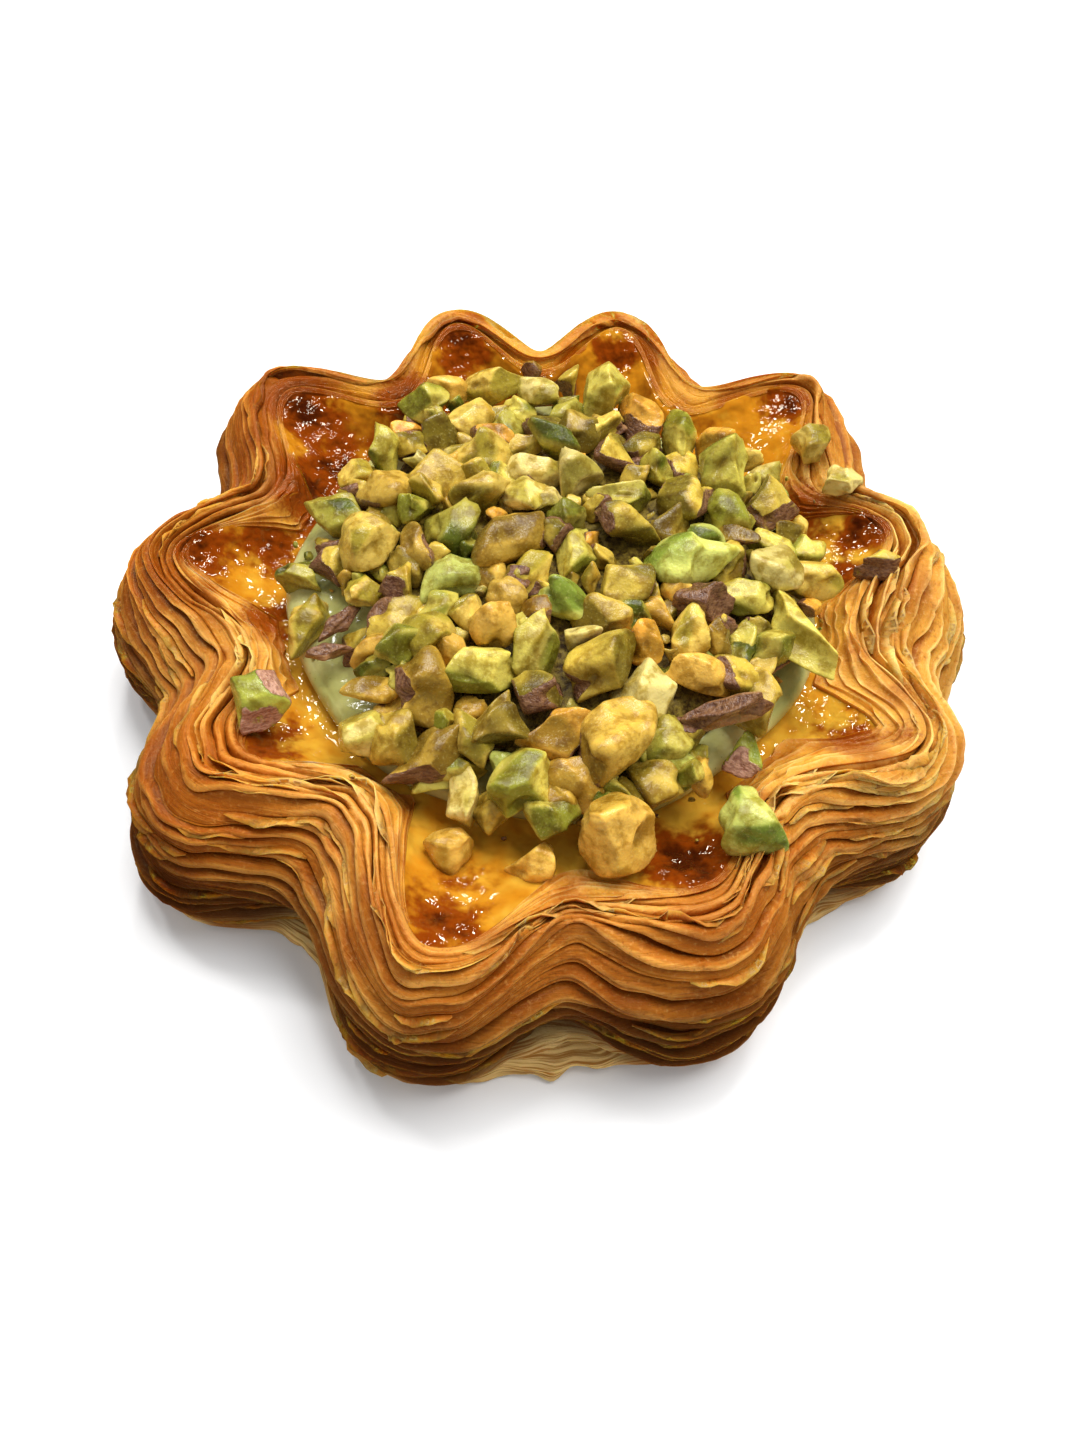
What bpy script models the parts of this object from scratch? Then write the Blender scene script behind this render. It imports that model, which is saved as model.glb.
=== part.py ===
"""Egg tart with a wavy flaky crust, baked custard, a disc of pistachio cream and chopped pistachios.

Angles run clockwise from +Y, the back, as seen from above. The tart stands on z = 0.
"""

import math
import random

import bmesh
import bpy
import numpy as np
from mathutils import Matrix, Vector

MM = 0.001
GAP = 0.35 * MM
TURN = 2 * math.pi

# The ten lobes of the rim, and the notch and saddle that follow each one clockwise:
# outer angle, valley angle (degrees), lobe radius, valley radius, notch radius, saddle radius (mm).
LOBES = np.array([
    (-23, -23, 49.5, 41.5, 42.8, 33.0),
    (7, 7, 51.2, 42.0, 45.9, 33.0),
    (43, 40, 52.7, 44.0, 45.4, 33.0),
    (84, 73, 50.4, 39.5, 46.5, 33.0),
    (115, 115, 49.4, 42.0, 44.8, 33.5),
    (158, 155, 51.9, 39.5, 48.0, 38.5),
    (190, 189, 54.0, 45.5, 45.8, 33.0),
    (227, 227, 52.7, 39.0, 45.3, 33.0),
    (262, 265, 50.6, 41.0, 43.3, 33.0),
    (304, 304, 52.6, 42.0, 44.2, 33.0),
])
OUTER_ANGLES, VALLEY_ANGLES = LOBES[:, 0], LOBES[:, 1]
LOBE_RADII, VALLEY_RADII, NOTCH_RADII, SADDLE_RADII = LOBES[:, 2:].T * MM
# How far the two wavy outlines fill out (above 0) or pull in (below 0) between lobe and notch.
EDGE_FULLNESS = 0.12
RIM_FULLNESS = -0.14
STEPS_PER_LOBE = 15
# The lobes' common middle, seen from the middle of the tart's box.
LOBES_MIDDLE = Vector((-0.15, 1.25, 0)) * MM

# The rim's section, from the custard's edge over the crest to the table.
CREST_HEIGHT = 19.8 * MM
CREST_DIP = 1.3 * MM
CREST_UNEVENNESS = 0.5 * MM
CREST_PLACE = 0.31
INNER_SLOPE = 0.56
# Distance along the section, share of the rim's width at a lobe and at a notch, which is
# hollow below its edge, and share of the crest's height.
RIM_SECTION = np.array([
    (0.000, 0.00, 0.00, 0.00),
    (0.075, 0.15, 0.14, 0.58),
    (0.150, CREST_PLACE, CREST_PLACE, 1.00),
    (0.250, 0.56, 0.55, 0.94),
    (0.350, 0.73, 0.76, 0.83),
    (0.450, 0.86, 0.94, 0.70),
    (0.540, 0.94, 1.00, 0.58),
    (0.640, 1.00, 0.92, 0.44),
    (0.830, 1.05, 0.84, 0.20),
    (0.940, 0.98, 0.90, 0.06),
    (1.000, 0.88, 0.86, 0.00),
])
SECTION_STOPS = RIM_SECTION[:, 0]
CREST_STOP = SECTION_STOPS[2]
LAMINAE = 11
LAMINAE_END = 0.965
LAMINA_WANDER = 0.16
LIP_PLACE = 0.66
LIP_HEIGHT = 0.34 * MM
GROOVE_DEPTH = 0.58 * MM

FLOOR_HEIGHT = 4.5 * MM
CAVITY_TAPER = 0.88
CUSTARD_LEVEL = 13.6 * MM
CUSTARD_BELOW_EDGE = 0.2 * MM
CUSTARD_CURL = 1.3
CREAM_BED_RADIUS = 31.2 * MM
CREAM_RADIUS = 30.0 * MM
CREAM_SHOULDER = 16.0 * MM
CREAM_RISE = 3.6 * MM
CREAM_UNEVENNESS = 0.6 * MM
CREAM_STEPS = 54

# The heap of nuts: its reach at twelve even directions from the back, clockwise.
HEAP_REACH = np.array([32, 29, 32, 31, 26, 32, 33, 29, 22, 29, 27, 34]) * MM
BED_THICKNESS = 1.3 * MM
BED_SHARE = 0.86
BED_STEPS = 30
NUT_LENGTHS = (7.2, 4.4)
MORE_NUTS = 110
SOLID_NUTS = 78
CLOSENESS = 0.35
STRAY_CLOSENESS = 0.58
NUT_CUTS = 3
NUT_TRIES = 200
HEAP_TILT = 26
STRAY_TILT = 9
# The height of a nut's middle above what it lies on, as a share of its thickness.
HEAP_LIFT = 0.38
STRAY_LIFT = 0.3

# Nuts that stand out: angle, distance from the middle, length, width, thickness (mm), heading.
HEAP_NUTS = (
    (166, 33.6, 8.2, 7.6, 6.0, 0),
    (163, 24.6, 8.2, 6.8, 5.4, 20),
    (175, 23.9, 7.2, 4.4, 4.6, 70),
    (138, 26.8, 8.6, 4.6, 3.0, 115),
    (-172, 24.1, 7.4, 7.0, 5.6, 0),
    (-159, 27.2, 7.4, 4.2, 4.2, 50),
    (-146, 29.0, 5.2, 4.6, 3.8, 80),
    (-150, 23.6, 6.4, 5.8, 4.6, 20),
    (-139, 18.6, 5.8, 5.4, 4.2, 0),
    (-161, 18.6, 8.6, 5.2, 4.0, 60),
    (-175, 14.7, 7.2, 4.4, 4.0, 10),
    (162, 16.6, 7.8, 5.0, 4.6, 40),
    (152, 21.2, 6.8, 5.8, 4.6, 0),
    (141, 15.6, 6.6, 6.2, 4.8, 20),
    (132, 22.3, 7.4, 4.2, 3.8, 90),
    (110, 17.0, 5.8, 5.0, 4.2, 70),
    (94, 14.0, 8.0, 5.6, 4.6, 80),
    (104, 27.4, 12.5, 4.8, 4.2, 135),
    (120, 23.2, 4.6, 4.0, 3.0, 60),
    (51, 23.5, 7.6, 6.2, 5.0, 45),
    (65, 26.3, 7.6, 6.2, 4.2, 0),
    (67, 7.6, 10.0, 4.6, 4.2, 95),
    (-88, 5.1, 9.4, 6.4, 5.2, 30),
    (7, 28.6, 7.2, 6.6, 5.4, 150),
    (-21, 29.8, 8.6, 4.4, 4.0, 85),
    (-50, 26.5, 4.8, 4.0, 3.4, 60),
    (-37, 29.6, 5.4, 4.6, 4.0, 40),
    (-95, 21.4, 7.0, 6.2, 4.4, 70),
    (-83, 25.0, 7.2, 5.2, 4.2, 110),
    (171, 28.3, 6.8, 4.6, 4.0, 80),
    (156, 29.0, 6.4, 5.4, 4.2, 100),
    (-178, 29.0, 7.2, 6.0, 4.6, 50),
    (-163, 28.9, 6.6, 3.6, 2.8, 75),
)
# Nuts that fell beside the heap, in the same terms, with the node that each lies on.
STRAY_NUTS = (
    (146, 37.4, 7.0, 6.0, 4.4, 110, "pastry_crust"),
    (63, 37.4, 5.2, 3.8, 3.0, 70, "pastry_crust"),
    (53, 37.2, 5.6, 4.4, 3.6, 30, "pastry_crust"),
    (83, 37.2, 5.4, 3.6, 3.0, 75, "pastry_crust"),
    (-126, 36.2, 5.8, 5.4, 4.2, 10, "pastry_crust"),
    (-168, 35.4, 5.6, 5.0, 4.0, 70, "egg_custard"),
    (178, 35.2, 4.8, 4.4, 3.8, 20, "egg_custard"),
    (-112, 28.0, 7.6, 5.0, 4.2, 5, "pistachio_cream"),
    (-99, 28.6, 6.0, 4.6, 3.8, 120, "pistachio_cream"),
    (-125, 23.4, 5.6, 4.4, 3.6, 30, "pistachio_cream"),
)


def material(name, colour, roughness):
    made = bpy.data.materials.new(name)
    made.use_nodes = True
    shader = made.node_tree.nodes["Principled BSDF"]
    shader.inputs["Base Color"].default_value = (*colour, 1)
    shader.inputs["Roughness"].default_value = roughness
    shader.inputs["Metallic"].default_value = 0
    return made


def ripple(angle, seed, waves):
    """A smooth wave of the angle, the same after a whole turn, from about -1 to 1."""
    draw = random.Random(seed)
    total = sum(np.sin(count * angle + draw.uniform(0, TURN)) for count in waves)
    return total / math.sqrt(len(waves))


def place_in_lobe(angle, centres):
    """The lobe before each angle (radians), and how far it is to the next lobe, from 0 to 1."""
    degrees = (np.degrees(angle) - centres[0]) % 360 + centres[0]
    lobe = np.searchsorted(centres, degrees, side="right") - 1
    following = np.append(centres[1:], centres[0] + 360)
    return lobe, (degrees - centres[lobe]) / (following[lobe] - centres[lobe])


def wavy(angle, centres, tops, dips, fullness):
    """Radius of a lobed outline, and how far out in a lobe it is, from 0 in a notch to 1."""
    lobe, passed = place_in_lobe(angle, centres)
    phase = TURN * passed
    swell = (1 + np.cos(phase) + fullness * (np.cos(2 * phase) - 1)) / 2
    nearest = np.where(passed < 0.5, lobe, (lobe + 1) % len(centres))
    return dips[lobe] + (tops[nearest] - dips[lobe]) * swell, swell


def rim_lines(angle):
    """Radius and height of the custard's edge, radius of the rim, height of its crest, and swell."""
    edge = wavy(angle, VALLEY_ANGLES, VALLEY_RADII, SADDLE_RADII, EDGE_FULLNESS)[0]
    outer, swell = wavy(angle, OUTER_ANGLES, LOBE_RADII, NOTCH_RADII, RIM_FULLNESS)
    unevenness = CREST_UNEVENNESS * ripple(angle, 3, (2, 3, 5))
    crest = CREST_HEIGHT - CREST_DIP * (1 - swell) + unevenness
    edge_height = crest - INNER_SLOPE * CREST_PLACE * (outer - edge)
    return edge, edge_height, outer, crest, swell


def section_value(along, column):
    """A column of the rim's section, read off a smooth curve through its stops."""
    values = RIM_SECTION[:, column]
    slopes = np.gradient(values, SECTION_STOPS)
    span = np.clip(np.searchsorted(SECTION_STOPS, along, side="right") - 1, 0, len(values) - 2)
    width = SECTION_STOPS[span + 1] - SECTION_STOPS[span]
    t = (along - SECTION_STOPS[span]) / width
    start = values[span] * (1 + 2 * t) + slopes[span] * width * t
    end = values[span + 1] * (3 - 2 * t) + slopes[span + 1] * width * (t - 1)
    return start * (1 - t) ** 2 + end * t**2


def rim_point(angle, along):
    """A point of the rim without its laminae: along runs from 0 at the custard to 1 on the table."""
    edge, edge_height, outer, crest, swell = rim_lines(angle)
    at_lobe, at_notch = section_value(along, 1), section_value(along, 2)
    radius = edge + (outer - edge) * (at_notch + (at_lobe - at_notch) * swell)
    share = section_value(along, 3)
    inside = along < CREST_STOP
    height = np.where(inside, edge_height + (crest - edge_height) * share, crest * share)
    return np.stack([radius * np.sin(angle), radius * np.cos(angle), height], axis=-1)


def outward(angle, along):
    """The rim's unit normal, from two short steps on its surface."""
    step = 0.002
    round_the_rim = rim_point(angle + step, along) - rim_point(angle - step, along)
    ahead, behind = np.clip(along + step, 0, 1), np.clip(along - step, 0, 1)
    down_the_rim = rim_point(angle, ahead) - rim_point(angle, behind)
    normal = np.cross(down_the_rim, round_the_rim)
    return -normal / np.linalg.norm(normal, axis=-1, keepdims=True)


def stations():
    """The angles round the tart at which the crust's and the custard's sections stand."""
    following = np.append(OUTER_ANGLES[1:], OUTER_ANGLES[0] + 360)
    steps = np.arange(STEPS_PER_LOBE) / STEPS_PER_LOBE
    degrees = OUTER_ANGLES[:, None] + (following - OUTER_ANGLES)[:, None] * steps
    return np.radians(degrees.ravel())


def level_ring(angle, radius, height):
    """Points at the given radii and heights round the tart."""
    height = np.broadcast_to(height, angle.shape)
    return np.stack([radius * np.sin(angle), radius * np.cos(angle), height], axis=-1)


def lofted(name, rings, look):
    """A closed solid through rings of points, from a cap on the first to a cap on the last."""
    mesh = bmesh.new()
    rows = [[mesh.verts.new(point) for point in ring] for ring in rings]
    count = len(rows[0])
    for lower, upper in zip(rows, rows[1:]):
        for i in range(count):
            j = (i + 1) % count
            mesh.faces.new((lower[i], lower[j], upper[j], upper[i]))
    mesh.faces.new(rows[0][::-1])
    mesh.faces.new(rows[-1])
    bmesh.ops.recalc_face_normals(mesh, faces=mesh.faces)
    return finished(name, mesh, look)


def finished(name, mesh, look):
    """The bmesh as an object of its own in the tart's collection."""
    data = bpy.data.meshes.new(name)
    mesh.to_mesh(data)
    mesh.free()
    data.materials.append(look)
    data.shade_smooth()
    data.set_sharp_from_angle(angle=math.radians(40))
    made = bpy.data.objects.new(name, data)
    bpy.data.collections["egg_tart"].objects.link(made)
    return made


def lamina_ring(angle, number, lip):
    """One line of the laminated rim: the lip of a lamina, or the groove before it."""
    wander = LAMINA_WANDER * ripple(angle, 20 + number, (4, 7, 11))
    place = number + wander + (LIP_PLACE if lip else 0)
    along = np.clip(place / LAMINAE * LAMINAE_END, 0.004, LAMINAE_END)
    strength = 0.85 + 0.35 * ripple(angle, 50 + number, (3, 8, 13))
    edge_fade = min(1, number / 3 + 0.2, (LAMINAE - number) / 2 + 0.2)
    relief = np.clip(strength, 0.3, 1.5) * edge_fade * (LIP_HEIGHT if lip else -GROOVE_DEPTH)
    return rim_point(angle, along) + outward(angle, along) * relief[:, None]


def build_crust(look):
    """The cup of laminated pastry, from its floor up the inside, over the rim and down."""
    angle = stations()
    edge, edge_height = rim_lines(angle)[:2]
    rings = [
        level_ring(angle, edge * CAVITY_TAPER, FLOOR_HEIGHT),
        level_ring(angle, edge, edge_height),
        lamina_ring(angle, 0, True),
    ]
    for number in range(1, LAMINAE):
        rings.append(lamina_ring(angle, number, False))
        rings.append(lamina_ring(angle, number, True))
    rings.append(rim_point(angle, np.full_like(angle, LAMINAE_END)))
    rings.append(rim_point(angle, np.ones_like(angle)))
    return lofted("pastry_crust", rings, look)


def custard_height(angle, radius):
    """The custard's top: flat under the cream, rising to the crust outside it."""
    edge, edge_height = rim_lines(angle)[:2]
    climb = (radius - CREAM_BED_RADIUS) / (edge - GAP - CREAM_BED_RADIUS)
    top = edge_height - CUSTARD_BELOW_EDGE
    return CUSTARD_LEVEL + (top - CUSTARD_LEVEL) * np.clip(climb, 0, 1) ** CUSTARD_CURL


def build_custard(look):
    """The baked filling, which runs into every lobe of the cup."""
    angle = stations()
    edge = rim_lines(angle)[0] - GAP
    rings = [level_ring(angle, edge * CAVITY_TAPER, FLOOR_HEIGHT + GAP)]
    for share in (1, 0.5, 0):
        radius = CREAM_BED_RADIUS + (edge - CREAM_BED_RADIUS) * share
        rings.append(level_ring(angle, radius, custard_height(angle, radius)))
    return lofted("egg_custard", rings, look)


def cream_height(radius):
    """The cream's domed top."""
    return CREAM_SHOULDER + CREAM_RISE * (1 - (radius / CREAM_RADIUS) ** 2)


def build_cream(look):
    """The domed disc of cream on the custard."""
    angle = np.arange(CREAM_STEPS) * TURN / CREAM_STEPS
    radius = CREAM_RADIUS + CREAM_UNEVENNESS * ripple(angle, 9, (3, 4, 7))
    rings = [
        level_ring(angle, radius - 1.2 * MM, CUSTARD_LEVEL + GAP),
        level_ring(angle, radius, CUSTARD_LEVEL + 1.0 * MM),
        level_ring(angle, radius - 0.6 * MM, CREAM_SHOULDER - 0.5 * MM),
    ]
    for share in (0.93, 0.7, 0.35):
        rings.append(level_ring(angle, radius * share, cream_height(radius * share)))
    return lofted("pistachio_cream", rings, look)


def heap_reach(angle):
    """How far the heap goes at an angle in radians."""
    directions = np.arange(13) * 30
    return np.interp(np.degrees(angle) % 360, directions, np.append(HEAP_REACH, HEAP_REACH[0]))


def build_nut_bed(look):
    """The layer of crumbs on the cream that carries the heap's nuts."""
    angle = np.arange(BED_STEPS) * TURN / BED_STEPS
    reach = np.minimum(heap_reach(angle), CREAM_RADIUS) * BED_SHARE
    under = [(share, GAP) for share in (0.3, 0.65, 1)]
    over = [(share, GAP + BED_THICKNESS) for share in (0.96, 0.6, 0.25)]
    rings = []
    for share, lift in under + over:
        rings.append(level_ring(angle, reach * share, cream_height(reach * share) + lift))
    return lofted("chopped_pistachios", rings, look)


def nut_block(seed):
    """A unit block with slanting sides and a few knife strokes off it, as a bmesh."""
    draw = random.Random(seed)
    mesh = bmesh.new()
    sides, taper = draw.choice((3, 4, 4, 5)), draw.uniform(0.55, 0.9)
    bmesh.ops.create_cone(
        mesh, cap_ends=True, segments=sides, radius1=0.66, radius2=0.66 * taper, depth=1
    )
    for _ in range(NUT_CUTS):
        stroke = Vector([draw.choice((-1, 1)) * draw.uniform(0.3, 1) for _ in range(3)])
        stroke.normalize()
        reach = max(stroke.dot(vert.co) for vert in mesh.verts)
        everything = mesh.verts[:] + mesh.edges[:] + mesh.faces[:]
        cut = bmesh.ops.bisect_plane(
            mesh,
            geom=everything,
            plane_co=stroke * reach * draw.uniform(0.6, 0.8),
            plane_no=stroke,
            clear_outer=True,
        )
        rim = [part for part in cut["geom_cut"] if isinstance(part, bmesh.types.BMEdge)]
        bmesh.ops.holes_fill(mesh, edges=rim, sides=0)
    return mesh


def crust_height(angle, radius):
    """The height of the rim's top at a place, or 0 inside the custard's edge."""
    edge, edge_height, outer, crest = rim_lines(angle)[:4]
    across = (radius - edge) / (outer - edge)
    share = np.interp(across, RIM_SECTION[:3, 1], RIM_SECTION[:3, 3])
    inner_side = edge_height + (crest - edge_height) * share
    outer_side = np.interp(across, RIM_SECTION[2:7, 1], RIM_SECTION[2:7, 3]) * crest
    height = np.where(across < CREST_PLACE, inner_side, outer_side)
    return np.where(across < 0, 0, height + LIP_HEIGHT)


def ground_height(x, y, carrier=""):
    """What lies under a nut at a place: the cream, the custard and the crust, less its carrier."""
    angle, radius = np.arctan2(x, y), np.hypot(x, y)
    tops = {
        "egg_custard": np.where(crust_height(angle, radius - MM) > 0, 0, custard_height(angle, radius)),
        "pastry_crust": crust_height(angle, radius + GAP),
        "pistachio_cream": np.where(radius < CREAM_BED_RADIUS, cream_height(radius), 0),
    }
    return np.max([top for name, top in tops.items() if name != carrier], axis=0)


def spot_of(nut):
    """Where a nut lies, seen from above, in millimetres."""
    angle = math.radians(nut[0])
    return Vector((nut[1] * math.sin(angle), nut[1] * math.cos(angle)))


def has_room(nut, places):
    """Whether a new nut lies clear enough of the heap's others, and well clear of the strays."""
    def far_from(other, share):
        return (spot_of(nut) - spot_of(other)).length > share * (nut[2] + other[2])

    in_heap = all(far_from(other, CLOSENESS) for other in places)
    return in_heap and all(far_from(other, STRAY_CLOSENESS) for other in STRAY_NUTS)


def nut_places():
    """The heap's nuts, the marked ones first and then ever smaller ones where there is room."""
    draw = random.Random(41)
    places = list(HEAP_NUTS)
    longest, shortest = NUT_LENGTHS
    for number in range(MORE_NUTS):
        length = longest + (shortest - longest) * number / MORE_NUTS
        width = length * draw.uniform(0.6, 0.85)
        thickness = length * draw.uniform(0.5, 0.7)
        heading = draw.uniform(0, 180)
        for _ in range(NUT_TRIES):
            angle = draw.uniform(0, 360)
            reach = heap_reach(math.radians(angle)) / MM - 0.3 * length
            nut = (angle, reach * math.sqrt(draw.random()), length, width, thickness, heading)
            if has_room(nut, places):
                places.append(nut)
                break
    return places


def shaped_nut(nut, seed, middle, lean):
    """A nut's bmesh at its place, its middle at a height, leaning by at most so many degrees."""
    length, width, thickness, heading = nut[2:6]
    draw = random.Random(seed)
    mesh = nut_block(seed)
    tilt = Matrix.Rotation(math.radians(draw.uniform(-lean, lean)), 4, "X")
    roll = Matrix.Rotation(math.radians(draw.uniform(-lean, lean)), 4, "Y")
    turn = Matrix.Rotation(math.radians(-heading), 4, "Z")
    size = Matrix.Diagonal((width * MM, length * MM, thickness * MM, 1))
    x, y = spot_of(nut) * MM
    mesh.transform(Matrix.Translation((x, y, middle)) @ turn @ tilt @ roll @ size)
    return mesh


def clear_of_ground(mesh, carrier=""):
    """Raises a nut until it is clear of every node but its carrier."""
    points = [vert.co for vert in mesh.verts]
    for edge in mesh.edges:
        start, end = (vert.co for vert in edge.verts)
        points.extend(start.lerp(end, share) for share in (0.25, 0.5, 0.75))
    points = np.array(points)
    above = points[:, 2] - ground_height(points[:, 0], points[:, 1], carrier)
    mesh.transform(Matrix.Translation((0, 0, max(0, GAP + 0.1 * MM - float(above.min())))))


def fuse(base, pieces):
    """Joins the pieces to the base in one solid, and drops what stays loose."""
    group = bpy.data.collections.new("fused_pieces")
    bpy.context.scene.collection.children.link(group)
    for piece in pieces:
        bpy.data.collections["egg_tart"].objects.unlink(piece)
        group.objects.link(piece)
    union = base.modifiers.new("union", "BOOLEAN")
    union.operation = "UNION"
    union.operand_type = "COLLECTION"
    union.collection = group
    union.solver = "EXACT"
    bpy.context.view_layer.objects.active = base
    bpy.ops.object.modifier_apply(modifier=union.name)
    for piece in list(group.objects):
        bpy.data.objects.remove(piece)
    bpy.data.collections.remove(group)
    keep_largest_body(base)


def keep_largest_body(made):
    """Drops what doesn't hang together with the rest, and splits the faces into triangles."""
    mesh = bmesh.new()
    mesh.from_mesh(made.data)
    unseen = set(mesh.verts)
    bodies = []
    while unseen:
        body, waiting = set(), [unseen.pop()]
        while waiting:
            vert = waiting.pop()
            body.add(vert)
            near = {edge.other_vert(vert) for edge in vert.link_edges} & unseen
            unseen -= near
            waiting.extend(near)
        bodies.append(body)
    bodies.sort(key=len, reverse=True)
    loose = [vert for body in bodies[1:] for vert in body]
    bmesh.ops.delete(mesh, geom=loose, context="VERTS")
    bmesh.ops.triangulate(mesh, faces=mesh.faces)
    mesh.to_mesh(made.data)
    mesh.free()


def build_heap(look):
    """The bed of crumbs with the heap's largest nuts fused on."""
    bed = build_nut_bed(look)
    pieces = []
    for number, nut in enumerate(nut_places()[:SOLID_NUTS]):
        x, y = spot_of(nut) * MM
        middle = float(ground_height(x, y)) + GAP + HEAP_LIFT * nut[4] * MM
        mesh = shaped_nut(nut, 100 + number, middle, HEAP_TILT)
        clear_of_ground(mesh)
        pieces.append(finished(f"nut_{number}", mesh, look))
    fuse(bed, pieces)


def add_strays(carrier, look):
    """Fuses the nuts that fell beside the heap to the node that they lie on."""
    pieces = []
    for number, nut in enumerate(STRAY_NUTS):
        if nut[6] != carrier.name:
            continue
        x, y = spot_of(nut) * MM
        middle = float(ground_height(x, y)) + STRAY_LIFT * nut[4] * MM
        mesh = shaped_nut(nut, 300 + number, middle, STRAY_TILT)
        clear_of_ground(mesh, carrier.name)
        pieces.append(finished(f"stray_{number}", mesh, look))
    fuse(carrier, pieces)


def main():
    for old in list(bpy.data.objects):
        bpy.data.objects.remove(old)
    bpy.context.scene.collection.children.link(bpy.data.collections.new("egg_tart"))
    crust = build_crust(material("baked_pastry", (0.47, 0.20, 0.05), 0.55))
    custard = build_custard(material("glazed_custard", (0.53, 0.22, 0.02), 0.2))
    cream = build_cream(material("pale_green_cream", (0.42, 0.45, 0.20), 0.25))
    nut_look = material("chopped_nut", (0.50, 0.42, 0.09), 0.6)
    build_heap(nut_look)
    for carrier in (crust, custard, cream):
        add_strays(carrier, nut_look)
    for made in bpy.data.collections["egg_tart"].objects:
        made.location = LOBES_MIDDLE


main()
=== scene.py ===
"""Looks of the egg tart: laminated pastry, baked custard, pale cream and chopped pistachios.

Angles run clockwise from +Y, the back, as seen from above. Lengths are in metres.
"""

import functools
import math
import random

import bmesh
import bpy
import numpy as np
from mathutils import Matrix, Vector


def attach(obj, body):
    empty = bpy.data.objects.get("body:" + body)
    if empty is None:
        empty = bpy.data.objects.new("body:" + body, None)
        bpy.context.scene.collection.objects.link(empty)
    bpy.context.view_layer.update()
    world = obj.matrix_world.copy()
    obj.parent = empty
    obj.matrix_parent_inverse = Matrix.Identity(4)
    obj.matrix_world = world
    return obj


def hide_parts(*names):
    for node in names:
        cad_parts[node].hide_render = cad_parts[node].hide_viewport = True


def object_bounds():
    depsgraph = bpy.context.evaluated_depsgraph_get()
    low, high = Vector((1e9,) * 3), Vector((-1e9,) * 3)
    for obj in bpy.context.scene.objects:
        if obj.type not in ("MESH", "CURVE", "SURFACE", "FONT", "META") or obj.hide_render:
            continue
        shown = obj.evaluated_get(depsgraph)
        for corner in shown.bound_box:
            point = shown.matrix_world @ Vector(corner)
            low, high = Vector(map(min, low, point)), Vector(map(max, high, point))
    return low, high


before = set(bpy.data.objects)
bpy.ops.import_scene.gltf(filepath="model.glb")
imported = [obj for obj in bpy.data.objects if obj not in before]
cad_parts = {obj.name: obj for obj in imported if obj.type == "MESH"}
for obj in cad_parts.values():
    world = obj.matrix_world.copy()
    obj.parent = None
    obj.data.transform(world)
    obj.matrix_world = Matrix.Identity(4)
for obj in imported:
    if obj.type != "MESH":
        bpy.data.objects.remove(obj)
CAD_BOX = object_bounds()

MM = 0.001
GAP = 0.35 * MM
TURN = 2 * math.pi

# The ten lobes of the rim, and the notch and saddle that follow each one clockwise:
# outer angle, valley angle (degrees), lobe radius, valley radius, notch radius, saddle radius (mm).
LOBES = np.array([
    (-23, -23, 49.5, 41.5, 42.8, 33.0),
    (7, 7, 51.2, 42.0, 45.9, 33.0),
    (43, 40, 52.7, 44.0, 45.4, 33.0),
    (84, 73, 50.4, 39.5, 46.5, 33.0),
    (115, 115, 49.4, 42.0, 44.8, 33.5),
    (158, 155, 51.9, 39.5, 48.0, 38.5),
    (190, 189, 54.0, 45.5, 45.8, 33.0),
    (227, 227, 52.7, 39.0, 45.3, 33.0),
    (262, 265, 50.6, 41.0, 43.3, 33.0),
    (304, 304, 52.6, 42.0, 44.2, 33.0),
])
OUTER_ANGLES, VALLEY_ANGLES = LOBES[:, 0], LOBES[:, 1]
LOBE_RADII, VALLEY_RADII, NOTCH_RADII, SADDLE_RADII = LOBES[:, 2:].T * MM
EDGE_FULLNESS = 0.12
RIM_FULLNESS = -0.14
RIM_RADIUS = 48 * MM
# The lobes' common middle stands this far from the middle of the tart's box.
BOX_MIDDLE = (Vector(CAD_BOX[0]) + Vector(CAD_BOX[1])) / 2
MIDDLE = Vector((BOX_MIDDLE.x - 0.15 * MM, BOX_MIDDLE.y + 1.25 * MM, CAD_BOX[0][2]))

# The rim's section: distance along it, share of its width at a lobe and at a notch, and
# share of its height.
CREST_HEIGHT = 19.8 * MM
CREST_DIP = 1.3 * MM
CREST_UNEVENNESS = 0.5 * MM
CREST_PLACE = 0.31
INNER_SLOPE = 0.56
RIM_SECTION = np.array([
    (0.000, 0.00, 0.00, 0.00),
    (0.075, 0.15, 0.14, 0.58),
    (0.150, CREST_PLACE, CREST_PLACE, 1.00),
    (0.250, 0.56, 0.55, 0.94),
    (0.350, 0.73, 0.76, 0.83),
    (0.450, 0.86, 0.94, 0.70),
    (0.540, 0.94, 1.00, 0.58),
    (0.640, 1.00, 0.92, 0.44),
    (0.830, 1.05, 0.84, 0.20),
    (0.940, 0.98, 0.90, 0.06),
    (1.000, 0.88, 0.86, 0.00),
])
SECTION_STOPS = RIM_SECTION[:, 0]
CREST_STOP = SECTION_STOPS[2]
LIP_HEIGHT = 0.34 * MM

FLOOR_HEIGHT = 4.5 * MM
OFF_TABLE = 0.02 * MM
CUSTARD_LEVEL = 13.6 * MM
CUSTARD_BELOW_EDGE = 0.2 * MM
CUSTARD_CURL = 1.3
SKIN_SLOPE = 0.67
CREAM_BED_RADIUS = 31.2 * MM
CREAM_RADIUS = 30.0 * MM
CREAM_SHOULDER = 16.0 * MM
CREAM_RISE = 3.6 * MM
CREAM_UNEVENNESS = 0.6 * MM
CREAM_EDGE = (1.2 * MM, 1.3 * MM)
CUSTARD_GRID = (50, 600)
CREAM_GRID = (44, 240)
BED_GRID = (34, 180)

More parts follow.
